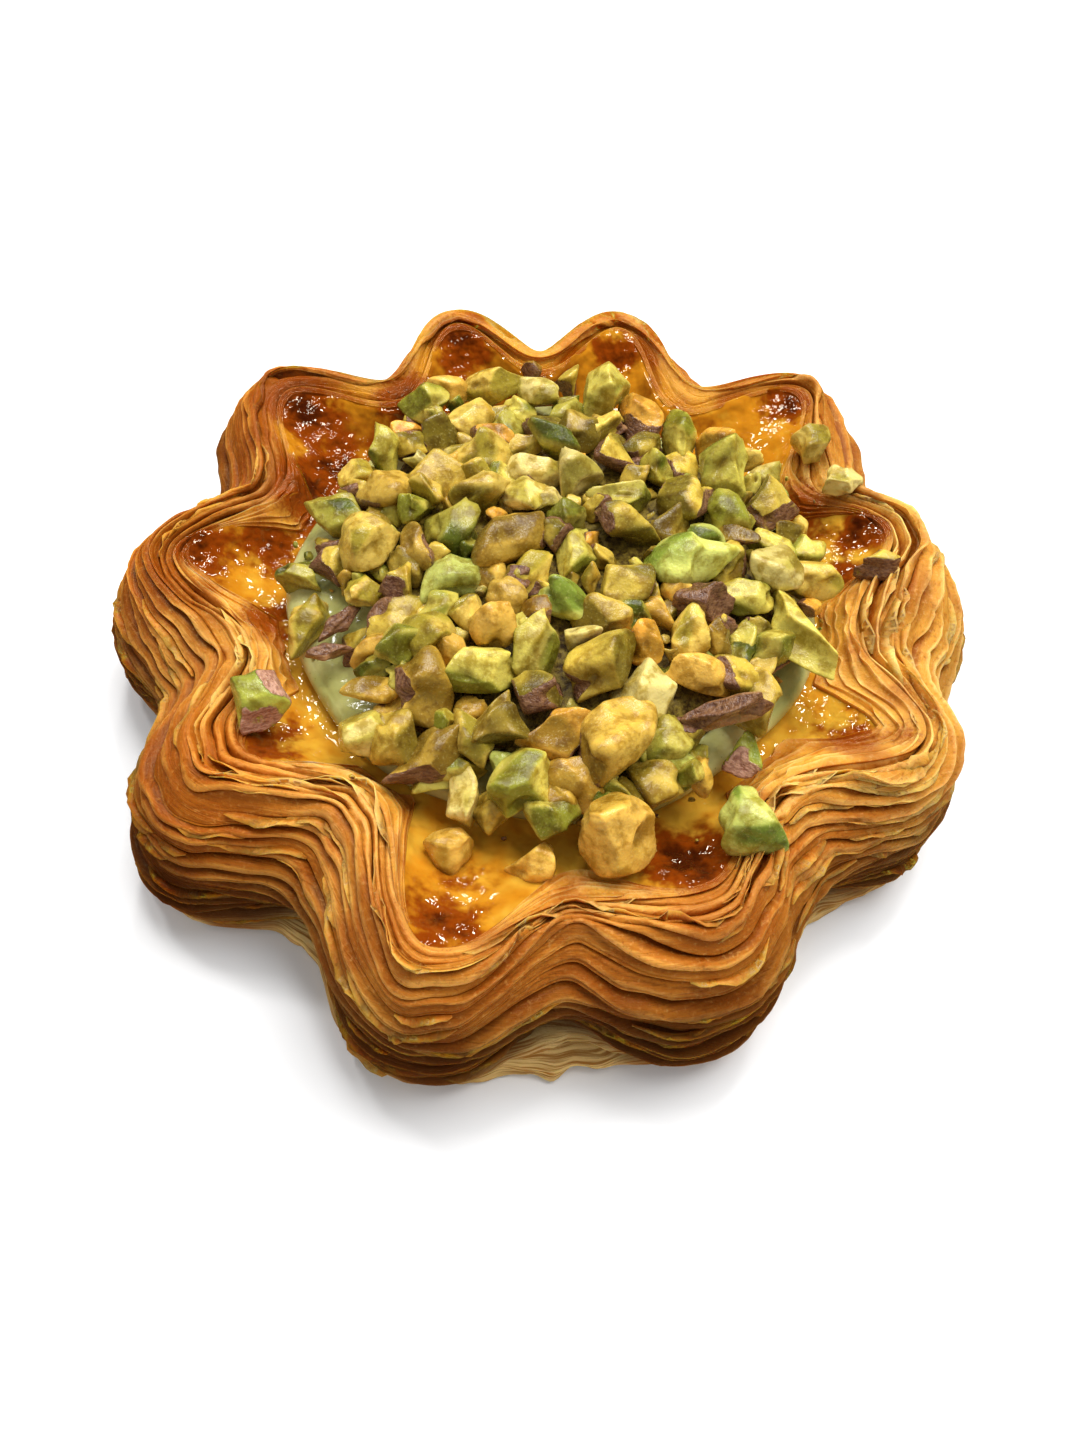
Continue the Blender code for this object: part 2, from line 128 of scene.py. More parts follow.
# The leaves of pastry. Each one's face runs from the groove behind it to its lip, in these steps:
# place, depth of the groove behind, height of the face, depth of the groove ahead, reach of the lip.
LEAVES = 20
LEAVES_END = 0.985
SHARP_EDGE = 60
COLUMNS = 820
BASE_SHARES = (0.93, 0.8, 0.55, 0.25, 0.02)
BANDS = (("crust_crest", 0, 7), ("crust_shoulder", 7, 14), ("crust_side", 14, LEAVES))
ROUNDED_LEAF = np.array([
    (0.00, 1.00, 0.00, 0.00, -0.10),
    (0.06, 0.84, 0.10, 0.00, -0.08),
    (0.16, 0.50, 0.34, 0.00, -0.03),
    (0.30, 0.20, 0.64, 0.00, 0.00),
    (0.46, 0.06, 0.86, 0.00, 0.00),
    (0.62, 0.01, 0.98, 0.00, 0.04),
    (0.74, 0.00, 1.02, 0.02, 0.14),
    (0.82, 0.00, 0.96, 0.08, 0.26),
    (0.88, 0.00, 0.80, 0.26, 0.30),
    (0.94, 0.00, 0.44, 0.66, 0.14),
])
STANDING_LEAF = np.array([
    (0.00, 0.90, 0.00, 0.00, -0.15),
    (0.06, 0.84, 0.02, 0.00, -0.10),
    (0.16, 0.66, 0.08, 0.00, 0.00),
    (0.30, 0.44, 0.20, 0.00, 0.00),
    (0.46, 0.30, 0.34, 0.00, 0.00),
    (0.62, 0.12, 0.52, 0.00, 0.00),
    (0.74, 0.04, 0.80, 0.00, 0.12),
    (0.82, 0.00, 1.20, 0.00, 0.32),
    (0.88, 0.00, 1.30, 0.15, 0.50),
    (0.94, 0.00, 0.55, 0.66, 0.25),
])
FINE_LEDGES = np.array([0, 0.6, 1, -0.3, 0.6, 1, -0.3, 0.6, 0.5, 0])
LEAF_STEPS = ROUNDED_LEAF[:, 0]
LEAF_GROOVE = 0.64 * MM
LEAF_FACE = 0.52 * MM
LEAF_REACH = 0.50 * MM
LEAF_SETBACK = 0.38 * MM
BACK_SETBACK = 1.35 * MM
FINE_LEDGE = 0.12 * MM
FOOT_RADIUS = 45 * MM

FLAKES = 210
FLAKE_THICKNESS = 0.10 * MM
SHEET_THICKNESS = 0.12 * MM
STRIP_STEPS = 12
STRIP_ROOT = 0.25 * MM
# Loose sheets: angle, place along the rim and how it drifts, length, width (mm) and lean (degrees).
SHEETS = (
    (212, 0.05, 0.05, 17, 2.2, 80),
    (206, 0.03, -0.04, 13, 1.8, 60),
    (218, 0.10, 0.06, 15, 1.6, 70),
    (172, 0.05, 0.05, 14, 1.8, 70),
    (178, 0.10, -0.05, 13, 1.4, 60),
    (136, 0.05, 0.05, 15, 2.0, 75),
    (131, 0.11, -0.05, 13, 1.6, 65),
    (143, 0.03, 0.05, 12, 1.6, 60),
    (246, 0.04, 0.05, 14, 1.8, 75),
    (241, 0.09, -0.05, 13, 1.5, 60),
    (92, 0.05, 0.06, 14, 1.6, 60),
    (98, 0.12, -0.05, 14, 1.6, 70),
    (85, 0.09, 0.05, 12, 1.4, 65),
)

# Where leaves of pastry come in over the custard: middle and half width (degrees), reach (mm).
LININGS = (
    (100, 25, 9.0),
    (127, 23, 9.0),
    (60, 11, 3.0),
    (172, 15, 3.0),
    (208, 17, 6.0),
    (247, 23, 7.5),
    (283, 14, 3.0),
)
LINING_END = 31.2 * MM
LINING_LEAVES = 5
LINING_COLUMNS = 640
# A leaf of the lining from its covered end to its lip: place, height, paleness, which also paints shade at
# the covered end and a highlight at the lip.
LINING_STEPS = np.array([
    (0.00, 0.10, 0.25),
    (0.25, 0.18, 0.40),
    (0.55, 0.40, 0.55),
    (0.80, 0.75, 0.80),
    (0.92, 1.00, 1.00),
    (0.98, 0.55, 0.60),
])
LINING_LIP = 0.42 * MM
LINING_THICKNESS = 0.35 * MM

# Caramel on the custard and the rim's inside: angle, distance from the middle and size (mm), darkness.
CARAMEL = (
    (-23, 40.5, 4.5, 1.0),
    (7, 40.2, 3.5, 0.9),
    (40, 43.0, 3.6, 1.0),
    (71, 38.8, 4.0, 1.0),
    (115, 41.5, 3.5, 0.6),
    (117, 37.0, 4.5, 0.75),
    (79, 35.0, 4.0, 0.8),
    (155, 36.8, 5.0, 1.1),
    (189, 43.3, 4.5, 0.9),
    (-172, 38.5, 4.0, 0.5),
    (-133, 37.1, 4.0, 0.8),
    (-93, 40.2, 4.0, 1.0),
    (-56, 41.1, 5.0, 1.1),
    (-38, 33.0, 5.5, 1.0),
    (-60, 33.5, 5.0, 1.0),
    (-106, 32.6, 3.5, 0.9),
    (25, 33.0, 4.5, 0.5),
    (62, 32.5, 5.5, 0.8),
    (-72, 32.8, 5.5, 1.0),
    (-88, 33.5, 4.0, 0.8),
)

# The heap of nuts: its reach at twelve even directions from the back, clockwise.
HEAP_REACH = np.array([32, 29, 32, 31, 28, 32, 33, 31, 22, 29, 27, 34]) * MM
BED_THICKNESS = 1.3 * MM
BED_SHARE = 0.86
NUT_LENGTHS = (7.2, 4.4)
MORE_NUTS = 110
CLOSENESS = 0.35
STRAY_CLOSENESS = 0.58
NUT_CUTS = 3
CHIPS = 7
NUT_TRIES = 200
# How far (degrees) each sort of nut leans, and how far its middle stands above what it lies on,
# as a share of its thickness.
HEAP_TILT, HEAP_LIFT = 30, 0.38
STRAY_TILT, STRAY_LIFT = 9, 0.3
FILLER_TILT, BIT_TILT, FILLER_LIFT = 60, 80, 0.6
SCRAP_TILT, SCRAP_LIFT = 12, 1.4
CRUMB_TILT, CRUMB_LIFT = 90, 0.4
SUNK = 0.5 * MM
# Count, longest and shortest length (mm), and seed of the pieces in the gaps; for those at the front
# and right also the sector (degrees) and the share of the reach beyond which they lie.
FILLERS = (46, 5.4, 3.6, 47)
FRONT_FILLERS = (18, 6.2, 4.2, 49, 148, 236, 0.84)
RIGHT_FILLERS = (8, 5.8, 4.0, 51, 108, 150, 0.84)
BITS = (110, 3.6, 1.6, 48)
GAP_TRIES = 14
CRUMBS = 70
# The seed of the first nut of each sort.
HEAP_SEED, STRAY_SEED, FILLER_SEED, SCRAP_SEED, BIT_SEED, CRUMB_SEED = 100, 330, 500, 560, 600, 700

# Nuts that stand out: angle, distance from the middle, length, width, thickness (mm), heading, kind.
HEAP_NUTS = (
    (166, 33.6, 8.2, 7.6, 6.0, 0, "gold"),
    (163, 24.6, 8.2, 6.8, 5.4, 20, "brown"),
    (175, 23.9, 7.2, 4.4, 4.6, 70, "orange_skinned"),
    (138, 26.8, 9.0, 3.2, 4.6, 76, "skin"),
    (-172, 24.1, 7.4, 7.0, 5.6, 0, "olive"),
    (-159, 28.6, 7.4, 4.4, 4.2, 50, "brown"),
    (-146, 30.0, 5.6, 4.8, 3.8, 80, "pale"),
    (-150, 23.6, 6.4, 5.8, 4.6, 20, "brown"),
    (-139, 18.6, 5.8, 5.4, 4.2, 0, "yellow"),
    (-161, 18.6, 8.6, 5.2, 4.0, 60, "lime"),
    (-175, 14.7, 7.2, 4.4, 4.0, 10, "lime"),
    (162, 16.6, 7.8, 5.0, 4.6, 40, "olive_skinned"),
    (152, 21.2, 6.8, 5.8, 4.6, 0, "pale"),
    (141, 15.6, 6.6, 6.2, 4.8, 20, "orange"),
    (132, 22.3, 7.4, 4.2, 3.8, 90, "gold"),
    (110, 17.0, 5.8, 5.0, 4.2, 70, "skin"),
    (94, 14.0, 8.0, 5.6, 4.6, 80, "green"),
    (120, 23.2, 4.6, 4.0, 3.0, 60, "leaf"),
    (105, 27.0, 10.8, 4.8, 4.4, 150, "lime"),
    (51, 23.5, 7.6, 6.2, 5.0, 45, "leaf"),
    (65, 26.3, 7.6, 6.2, 4.2, 0, "olive_skinned"),
    (67, 7.6, 10.0, 4.6, 4.2, 95, "olive_skinned"),
    (-88, 5.1, 9.4, 6.4, 5.2, 30, "brown"),
    (40, 10.6, 7.2, 5.4, 4.6, 60, "lime"),
    (7, 28.6, 7.2, 6.6, 5.4, 150, "lime"),
    (-21, 29.8, 8.6, 4.4, 4.0, 85, "yellow"),
    (-50, 26.5, 4.8, 4.0, 3.4, 60, "orange"),
    (-37, 29.6, 5.4, 4.6, 4.0, 40, "lime"),
    (-95, 21.4, 7.0, 6.2, 4.4, 70, "yellow"),
    (-83, 25.0, 7.2, 5.2, 4.2, 110, "leaf"),
    (171, 28.3, 6.8, 4.6, 4.0, 80, "gold"),
    (156, 29.0, 6.4, 5.4, 4.2, 100, "olive"),
    (-178, 29.0, 7.2, 6.0, 4.6, 50, "lime"),
    (-163, 28.9, 6.6, 3.6, 2.8, 75, "lime"),
)
# Scraps of loose skin on the heap and the cream, in the same terms.
SKIN_SCRAPS = (
    (136, 30.4, 5.4, 4.4, 1.4, 20, "pink"),
    (-118, 25.2, 4.8, 2.2, 1.6, 30, "skin"),
    (-124, 27.2, 4.6, 1.8, 1.4, 75, "skin"),
    (118, 25.8, 5.6, 1.6, 1.4, 60, "skin"),
    (10, 22.0, 6.4, 3.6, 1.6, 100, "skin"),
)
# Nuts that fell beside the heap, in the same terms, with the node that each lies on.
STRAY_NUTS = (
    (146, 37.4, 7.0, 6.0, 4.4, 110, "green", "pastry_crust"),
    (63, 37.4, 5.2, 3.8, 3.0, 70, "pale", "pastry_crust"),
    (53, 37.2, 5.6, 4.4, 3.6, 30, "yellow", "pastry_crust"),
    (83, 37.2, 5.4, 3.6, 3.0, 75, "olive_skinned", "pastry_crust"),
    (-128, 35.8, 7.0, 6.2, 4.4, 15, "pink", "pastry_crust"),
    (-168, 35.4, 5.6, 5.0, 4.0, 70, "gold", "egg_custard"),
    (178, 35.2, 5.2, 4.8, 4.2, 20, "gold", "egg_custard"),
    (-112, 28.0, 7.6, 5.0, 4.2, 5, "yellow", "pistachio_cream"),
    (-99, 28.6, 6.0, 4.6, 3.8, 120, "leaf", "pistachio_cream"),
    (-125, 23.4, 5.6, 4.4, 3.6, 30, "olive_skinned", "pistachio_cream"),
)
COMMON_KINDS = (
    "yellow", "yellow", "yellow", "pale", "lime", "lime", "lime", "olive", "olive",
    "olive", "gold", "green", "leaf", "leaf", "olive_skinned", "olive_skinned",
    "olive_skinned", "orange_skinned", "brown",
)


def paint(red, green, blue):
    """A colour given from 0 to 255, as the linear values that the shaders take."""
    shares = (value / 255 for value in (red, green, blue))
    return tuple(s / 12.92 if s <= 0.04045 else ((s + 0.055) / 1.055) ** 2.4 for s in shares)


# Each kind of nut: the colour of its cut faces, of its outside, and the share of its outside with skin.
KINDS = {
    "gold": (paint(238, 188, 82), paint(194, 152, 54), 0.0),
    "yellow": (paint(232, 198, 92), paint(164, 144, 46), 0.0),
    "pale": (paint(240, 218, 134), paint(188, 170, 72), 0.0),
    "lime": (paint(214, 196, 88), paint(136, 134, 40), 0.0),
    "olive": (paint(200, 168, 66), paint(128, 106, 30), 0.0),
    "green": (paint(214, 216, 110), paint(124, 140, 48), 0.0),
    "leaf": (paint(188, 174, 70), paint(96, 104, 28), 0.0),
    "orange": (paint(238, 168, 62), paint(180, 130, 38), 0.0),
    "brown": (paint(212, 172, 70), paint(146, 114, 36), 0.2),
    "olive_skinned": (paint(210, 180, 70), paint(128, 110, 32), 0.7),
    "orange_skinned": (paint(236, 174, 66), paint(160, 120, 36), 0.7),
    "skin": (paint(158, 114, 74), paint(116, 78, 52), 0.8),
    "pink": (paint(184, 184, 72), paint(126, 136, 46), 0.5),
}
SKIN_ON_TOP = ("skin", "pink")
LUMPY = ("green", "brown")
ROUNDED = ("gold",)


def ripple(angle, seed, waves):
    """A smooth wave of the angle, the same after a whole turn, from about -1 to 1."""
    draw = random.Random(seed)
    total = sum(np.sin(count * angle + draw.uniform(0, TURN)) for count in waves)
    return total / math.sqrt(len(waves))


def eased(share):
    """A share from 0 to 1 that starts and ends gently."""
    return share * share * (3 - 2 * share)


def held(value):
    """Values held between 0 and 1."""
    return np.clip(value, 0, 1)


def cloud(turn, across, cells, seed):
    """Smooth noise from -1 to 1: cells of it round the tart, and one to each unit across."""
    lowest = int(np.floor(across.min()))
    table = np.random.default_rng(seed).uniform(-1, 1, (int(across.max()) - lowest + 3, cells))
    round_it, down_it = turn % 1 * cells, across - lowest
    column, row = np.floor(round_it).astype(int), np.floor(down_it).astype(int)
    u, v = eased(round_it - column), eased(down_it - row)
    column, following = column % cells, (column + 1) % cells
    upper = table[row, column] * (1 - u) + table[row, following] * u
    lower = table[row + 1, column] * (1 - u) + table[row + 1, following] * u
    return upper * (1 - v) + lower * v


def near_angle(angle, degrees, width):
    """1 at a direction, falling to 0 at a width (degrees) to either side."""
    off = np.abs((np.degrees(angle) - degrees + 180) % 360 - 180)
    return eased(held(1 - off / width))


def place_in_lobe(angle, centres):
    """The lobe before each angle (radians), and how far it is to the next lobe, from 0 to 1."""
    degrees = (np.degrees(angle) - centres[0]) % 360 + centres[0]
    lobe = np.searchsorted(centres, degrees, side="right") - 1
    following = np.append(centres[1:], centres[0] + 360)
    return lobe, (degrees - centres[lobe]) / (following[lobe] - centres[lobe])


def wavy(angle, centres, tops, dips, fullness):
    """Radius of a lobed outline, and how far out in a lobe it is, from 0 in a notch to 1."""
    lobe, passed = place_in_lobe(angle, centres)
    phase = TURN * passed
    swell = (1 + np.cos(phase) + fullness * (np.cos(2 * phase) - 1)) / 2
    nearest = np.where(passed < 0.5, lobe, (lobe + 1) % len(centres))
    return dips[lobe] + (tops[nearest] - dips[lobe]) * swell, swell


def rim_lines(angle):
    """Radius and height of the custard's edge, radius of the rim, height of its crest, and swell."""
    edge = wavy(angle, VALLEY_ANGLES, VALLEY_RADII, SADDLE_RADII, EDGE_FULLNESS)[0]
    outer, swell = wavy(angle, OUTER_ANGLES, LOBE_RADII, NOTCH_RADII, RIM_FULLNESS)
    unevenness = CREST_UNEVENNESS * ripple(angle, 3, (2, 3, 5))
    crest = CREST_HEIGHT - CREST_DIP * (1 - swell) + unevenness
    edge_height = crest - INNER_SLOPE * CREST_PLACE * (outer - edge)
    return edge, edge_height, outer, crest, swell


def section_value(along, column):
    """A column of the rim's section, read off a smooth curve through its stops."""
    values = RIM_SECTION[:, column]
    slopes = np.gradient(values, SECTION_STOPS)
    span = np.clip(np.searchsorted(SECTION_STOPS, along, side="right") - 1, 0, len(values) - 2)
    width = SECTION_STOPS[span + 1] - SECTION_STOPS[span]
    t = (along - SECTION_STOPS[span]) / width
    start = values[span] * (1 + 2 * t) + slopes[span] * width * t
    end = values[span + 1] * (3 - 2 * t) + slopes[span + 1] * width * (t - 1)
    return start * (1 - t) ** 2 + end * t**2


def rim_point(angle, along):
    """A point of the rim without its leaves: along runs from 0 at the custard to 1 on the table."""
    edge, edge_height, outer, crest, swell = rim_lines(angle)
    at_lobe, at_notch = section_value(along, 1), section_value(along, 2)
    radius = edge + (outer - edge) * (at_notch + (at_lobe - at_notch) * swell)
    share = section_value(along, 3)
    inside = along < CREST_STOP
    height = np.where(inside, edge_height + (crest - edge_height) * share, crest * share)
    return level_ring(angle, radius, height)


def rim_directions(angle, along):
    """Unit vectors out of the rim's surface and down it, away from the custard."""
    step = 0.002
    round_the_rim = rim_point(angle + step, along) - rim_point(angle - step, along)
    ahead, behind = held(along + step), held(along - step)
    down = rim_point(angle, ahead) - rim_point(angle, behind)
    out = -np.cross(down, round_the_rim)
    return (v / np.linalg.norm(v, axis=-1, keepdims=True) for v in (out, down))


def level_ring(angle, radius, height):
    """Points at the given radii and heights round the tart."""
    height = np.broadcast_to(height, angle.shape)
    return np.stack([radius * np.sin(angle), radius * np.cos(angle), height], axis=-1)


def even_angles(count):
    """Angles at which points stand evenly spaced along the wavy rim."""
    angle = np.linspace(0, TURN, 4001)
    edge, _, outer = rim_lines(angle)[:3]
    path = level_ring(angle, (edge + outer) / 2, 0)
    steps = np.linalg.norm(np.diff(path, axis=0), axis=1)
    length = np.append(0, np.cumsum(steps))
    return np.interp(np.arange(count) * length[-1] / count, length, angle)


def made_piece(name, points, faces, look, masks=None, sharp=180):
    """A mesh object in the frame that rides on the tart, with masks as colour attributes."""
    data = bpy.data.meshes.new(name)
    data.vertices.add(len(points))
    data.vertices.foreach_set("co", (points + np.array(MIDDLE)).astype(np.float32).ravel())
    data.loops.add(faces.size)
    data.loops.foreach_set("vertex_index", faces.astype(np.int32).ravel())
    data.polygons.add(len(faces))
    data.polygons.foreach_set("loop_start", np.arange(len(faces), dtype=np.int32) * faces.shape[1])
    data.update(calc_edges=True)
    data.validate()
    for mask, values in (masks or {}).items():
        attribute = data.color_attributes.new(mask, "FLOAT_COLOR", "POINT")
        filled = np.ones((len(points), 4), np.float32)
        filled[:, : values.shape[1]] = values
        attribute.data.foreach_set("color", filled.ravel())
    data.shade_smooth()
    if sharp < 180:
        data.set_sharp_from_angle(angle=math.radians(sharp))
    data.materials.append(look)
    made = bpy.data.objects.new(name, data)
    bpy.context.scene.collection.objects.link(made)
    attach(made, "root")
    return made


def grid_faces(rows, columns):
    """Quads of a grid that is closed both ways, round the tart and round its section."""
    row = np.arange(rows)[:, None]
    column = np.arange(columns)[None, :]
    below, following = (row + 1) % rows, (column + 1) % columns
    corners = (row, column), (row, following), (below, following), (below, column)
    return np.stack([r * columns + c for r, c in corners], axis=-1).reshape(-1, 4)


def ringed_piece(name, rings, hidden, look, masks=None, sharp=180, flipped=False):
    """A piece from rings round the tart and the hidden ones that close it, which have its last masks.

    Faces of rings that run outwards over the top look out of the piece, and into it when flipped.
    """
    points = np.concatenate([rings, hidden])
    faces = grid_faces(*points.shape[:2])
    filled = {
        key: np.concatenate([values, np.repeat(values[-1:], len(hidden), axis=0)]).reshape(-1, 3)
        for key, values in (masks or {}).items()
    }
    faces = faces[:, ::-1] if flipped else faces
    return made_piece(name, points.reshape(-1, 3), faces, look, filled, sharp)


# ---- shader nodes -------------------------------------------------------------------------


def new_look(name):
    """A material and its node tree."""
    look = bpy.data.materials.new(name)
    look.use_nodes = True
    return look, look.node_tree


def feed(tree, socket, value):
    """Links a node's input to a socket, or sets it to a value."""
    if isinstance(value, bpy.types.NodeSocket):
        tree.links.new(value, socket)
    elif socket.type == "RGBA" and len(value) == 3:
        socket.default_value = (*value, 1)
    else:
        socket.default_value = value


def node(tree, kind, inputs=None, **settings):
    """A shader node with its settings, and its inputs fed."""
    made = tree.nodes.new("ShaderNode" + kind)
    for setting, value in settings.items():
        setattr(made, setting, value)
    for key, value in (inputs or {}).items():
        feed(tree, made.inputs[key], value)
    return made


def mask_of(tree, name):
    """The three masks that a colour attribute holds, as three sockets."""
    attribute = node(tree, "VertexColor", layer_name=name)
    parts = node(tree, "SeparateColor", {"Color": attribute.outputs["Color"]})
    return parts.outputs["Red"], parts.outputs["Green"], parts.outputs["Blue"]


def grain(tree, size, detail=3, roughness=0.5, stretch=(1, 1, 1)):
    """Noise with lumps of about a size, fixed to the object."""
    place = node(tree, "TexCoord").outputs["Object"]
    mapped = node(tree, "Mapping", {"Vector": place, "Scale": stretch}).outputs[0]
    inputs = {"Vector": mapped, "Scale": 1 / size, "Detail": detail, "Roughness": roughness}
    return node(tree, "TexNoise", inputs).outputs["Fac"]


def calc(tree, operation, *values):
    """The result of arithmetic on sockets and numbers."""
    return node(tree, "Math", dict(enumerate(values)), operation=operation).outputs[0]


def uneven(tree, value, noise, amount):
    """A value with so much noise added, as often below 0 as above."""
    return calc(tree, "MULTIPLY_ADD", calc(tree, "SUBTRACT", noise, 0.5), amount, value)


def between(tree, value, low, high, to_low=0.0, to_high=1.0):
    """A value brought from one range to another, held inside it."""
    inputs = {"Value": value, "From Min": low, "From Max": high, "To Min": to_low, "To Max": to_high}
    return node(tree, "MapRange", inputs, interpolation_type="SMOOTHSTEP").outputs[0]


def blend(tree, share, first, second, mode="MIX"):
    """Two colours mixed: only the first at a share of 0, only the second at 1."""
    inputs = {0: share, 6: first, 7: second}
    return node(tree, "Mix", inputs, data_type="RGBA", blend_type=mode).outputs[2]


def coated(tree, colour, *coats):
    """A colour under coats of others, each given by how much it covers and its own colour."""
    for share, coat in coats:
        colour = blend(tree, share, colour, coat)
    return colour


def bumped(tree, *reliefs):
    """A normal with reliefs on top of one another, each given by its height map and real height."""
    normal = {}
    for height, distance in reliefs:
        inputs = {"Height": height, "Distance": distance, "Strength": 1.0, **normal}
        normal = {"Normal": node(tree, "Bump", inputs).outputs[0]}
    return normal["Normal"]


def finish_look(look, colour, roughness, normal, **constants):
    """The material with its shader fed; the constants go straight onto the shader's sockets."""
    tree = look.node_tree
    shader = tree.nodes["Principled BSDF"]
    for key, value in (("Base Color", colour), ("Roughness", roughness), ("Normal", normal)):
        feed(tree, shader.inputs[key], value)
    for key, value in constants.items():
        shader.inputs[key.replace("_", " ")].default_value = value
    return look


# Streaks to a metre round the rim.
STREAK_SCALE = 160.0


def leaf_streaks(tree, along, lines, detail=3):
    """Fine streaks that follow the leaves of the pastry, so many from the custard to the table."""
    place = node(tree, "TexCoord").outputs["Object"]
    parts = node(tree, "SeparateXYZ", {0: place}).outputs
    scaled = [calc(tree, "MULTIPLY", part, STREAK_SCALE) for part in parts[:2]]
    scaled.append(calc(tree, "MULTIPLY", along, lines))
    vector = node(tree, "CombineXYZ", dict(enumerate(scaled))).outputs[0]
    inputs = {"Vector": vector, "Scale": 1.0, "Detail": detail, "Roughness": 0.6}
    return node(tree, "TexNoise", inputs).outputs["Fac"]


def pastry_look():
    """Golden leaf edges with painted highlights over grooves darkened as painted shade, redder and glossy
    towards the custard.
    """
    look, tree = new_look("baked_pastry")
    # The first mask of the leaves is painted light and shade: dark in the grooves, lighter up each face,
    # lit at the lips.
    ridge_shading, along, golden = mask_of(tree, "leaves")
    glaze, caramel, shade = mask_of(tree, "bake")
    patches = grain(tree, 6 * MM, 4)
    speckle = grain(tree, 0.5 * MM, 4, 0.6)
    streaks = leaf_streaks(tree, along, 110.0)
    fibres = leaf_streaks(tree, along, 320.0, 2)
    height = uneven(tree, uneven(tree, ridge_shading, streaks, 0.5), fibres, 0.3)
    char = uneven(tree, caramel, speckle, 0.5)
    # Painted shade in the grooves, the pastry's face colour, and pale lips that also carry a painted
    # highlight.
    groove = blend(tree, golden, paint(98, 40, 4), paint(170, 98, 22))
    face = blend(tree, golden, paint(174, 91, 14), paint(230, 168, 66))
    pale_lit_lip = blend(tree, golden, paint(226, 150, 54), paint(250, 206, 118))
    blister = blend(tree, golden, paint(232, 164, 76), paint(250, 214, 140))
    crumbly = blend(tree, between(tree, fibres, 0.35, 0.6), paint(164, 112, 50), paint(230, 194, 124))
    amber = blend(tree, between(tree, patches, 0.35, 0.62), paint(208, 142, 36), paint(166, 82, 6))
    # Painted shade on the lower walls below the overhanging leaves, eased off at the pale foot.
    overhang_shade = between(tree, along, 0.27, 0.64, 0.0, 0.88)
    foot = between(tree, along, 0.78, 0.95, 0.0, 0.46)
    colour = coated(
        tree, groove,
        (between(tree, height, 0.05, 0.52), face),
        (between(tree, height, 0.58, 1.0), pale_lit_lip),
        (between(tree, patches, 0.4, 0.64, 0.0, 0.6), paint(150, 70, 10)),
        (between(tree, speckle, 0.54, 0.72, 0.0, 0.3), blister),
        (between(tree, speckle, 0.46, 0.28, 0.0, 0.45), paint(126, 58, 6)),
        (calc(tree, "SUBTRACT", overhang_shade, foot), paint(66, 26, 2)),
        # Painted shade in the notches and on the left of the crest.
        (shade, paint(62, 26, 4)),
        (mask_of(tree, "foot")[0], crumbly),
        (glaze, amber),
        (between(tree, char, 0.25, 0.6), paint(144, 66, 10)),
        (between(tree, char, 0.6, 1.05), paint(78, 28, 6)),
    )
    gloss = calc(tree, "MAXIMUM", glaze, between(tree, char, 0.3, 0.6))
    return finish_look(
        look, colour, between(tree, gloss, 0.0, 1.0, 0.34, 0.14),
        bumped(tree, (fibres, 0.07 * MM), (streaks, 0.13 * MM), (speckle, 0.13 * MM)),
        Subsurface_Weight=0.4, Subsurface_Scale=1.0 * MM, Subsurface_Radius=(1.0, 0.45, 0.15),
        Specular_IOR_Level=0.34, Specular_Tint=(1.0, 0.80, 0.46, 1.0),
    )


def custard_look():
    """A glossy baked skin: yellow by the cream, orange outwards, dark caramel in the lobes."""
    look, tree = new_look("glazed_custard")
    brown, caramel, _ = mask_of(tree, "bake")
    blotch = grain(tree, 3.0 * MM, 2)
    speck = grain(tree, 0.8 * MM, 2)
    mixed = uneven(tree, brown, blotch, 1.1)
    char = uneven(tree, uneven(tree, caramel, blotch, 1.2), speck, 0.5)
    colour = coated(
        tree, paint(214, 162, 50),
        (between(tree, mixed, 0.0, 0.45), paint(196, 126, 24)),
        (between(tree, mixed, 0.4, 1.0), paint(112, 50, 6)),
        (between(tree, char, 0.25, 0.7), paint(132, 56, 6)),
        (between(tree, char, 0.7, 1.15), paint(66, 22, 4)),
    )
    crinkled = between(tree, caramel, 0.1, 0.6, 0.25, 1.0)
    crinkles = calc(tree, "MULTIPLY", grain(tree, 1.1 * MM, 1, 0.4), crinkled)
    return finish_look(
        look, colour, between(tree, blotch, 0.3, 0.7, 0.03, 0.07),
        bumped(tree, (grain(tree, 1.9 * MM, 1, 0.4), 0.45 * MM), (crinkles, 0.4 * MM)),
        Subsurface_Weight=0.12, Subsurface_Scale=1.0 * MM, Subsurface_Radius=(1.0, 0.45, 0.1),
        Specular_IOR_Level=0.6, Specular_Tint=(1.0, 0.9, 0.7, 1.0),
    )


def cream_look():
    """Smooth, glossy, pale green cream with faint specks."""
    look, tree = new_look("pale_green_cream")
    speck = grain(tree, 0.35 * MM, 2, 0.4)
    colour = coated(
        tree, paint(168, 166, 96),
        (between(tree, grain(tree, 6 * MM), 0.35, 0.65), paint(196, 192, 126)),
        (between(tree, speck, 0.68, 0.78), paint(140, 138, 70)),
    )
    return finish_look(
        look, colour, 0.14, bumped(tree, (grain(tree, 2.2 * MM, 1), 0.5 * MM), (speck, 0.02 * MM)),
        Subsurface_Weight=0.3, Subsurface_Scale=1.5 * MM, Subsurface_Radius=(1.0, 0.9, 0.4),
        Specular_IOR_Level=0.45,
    )


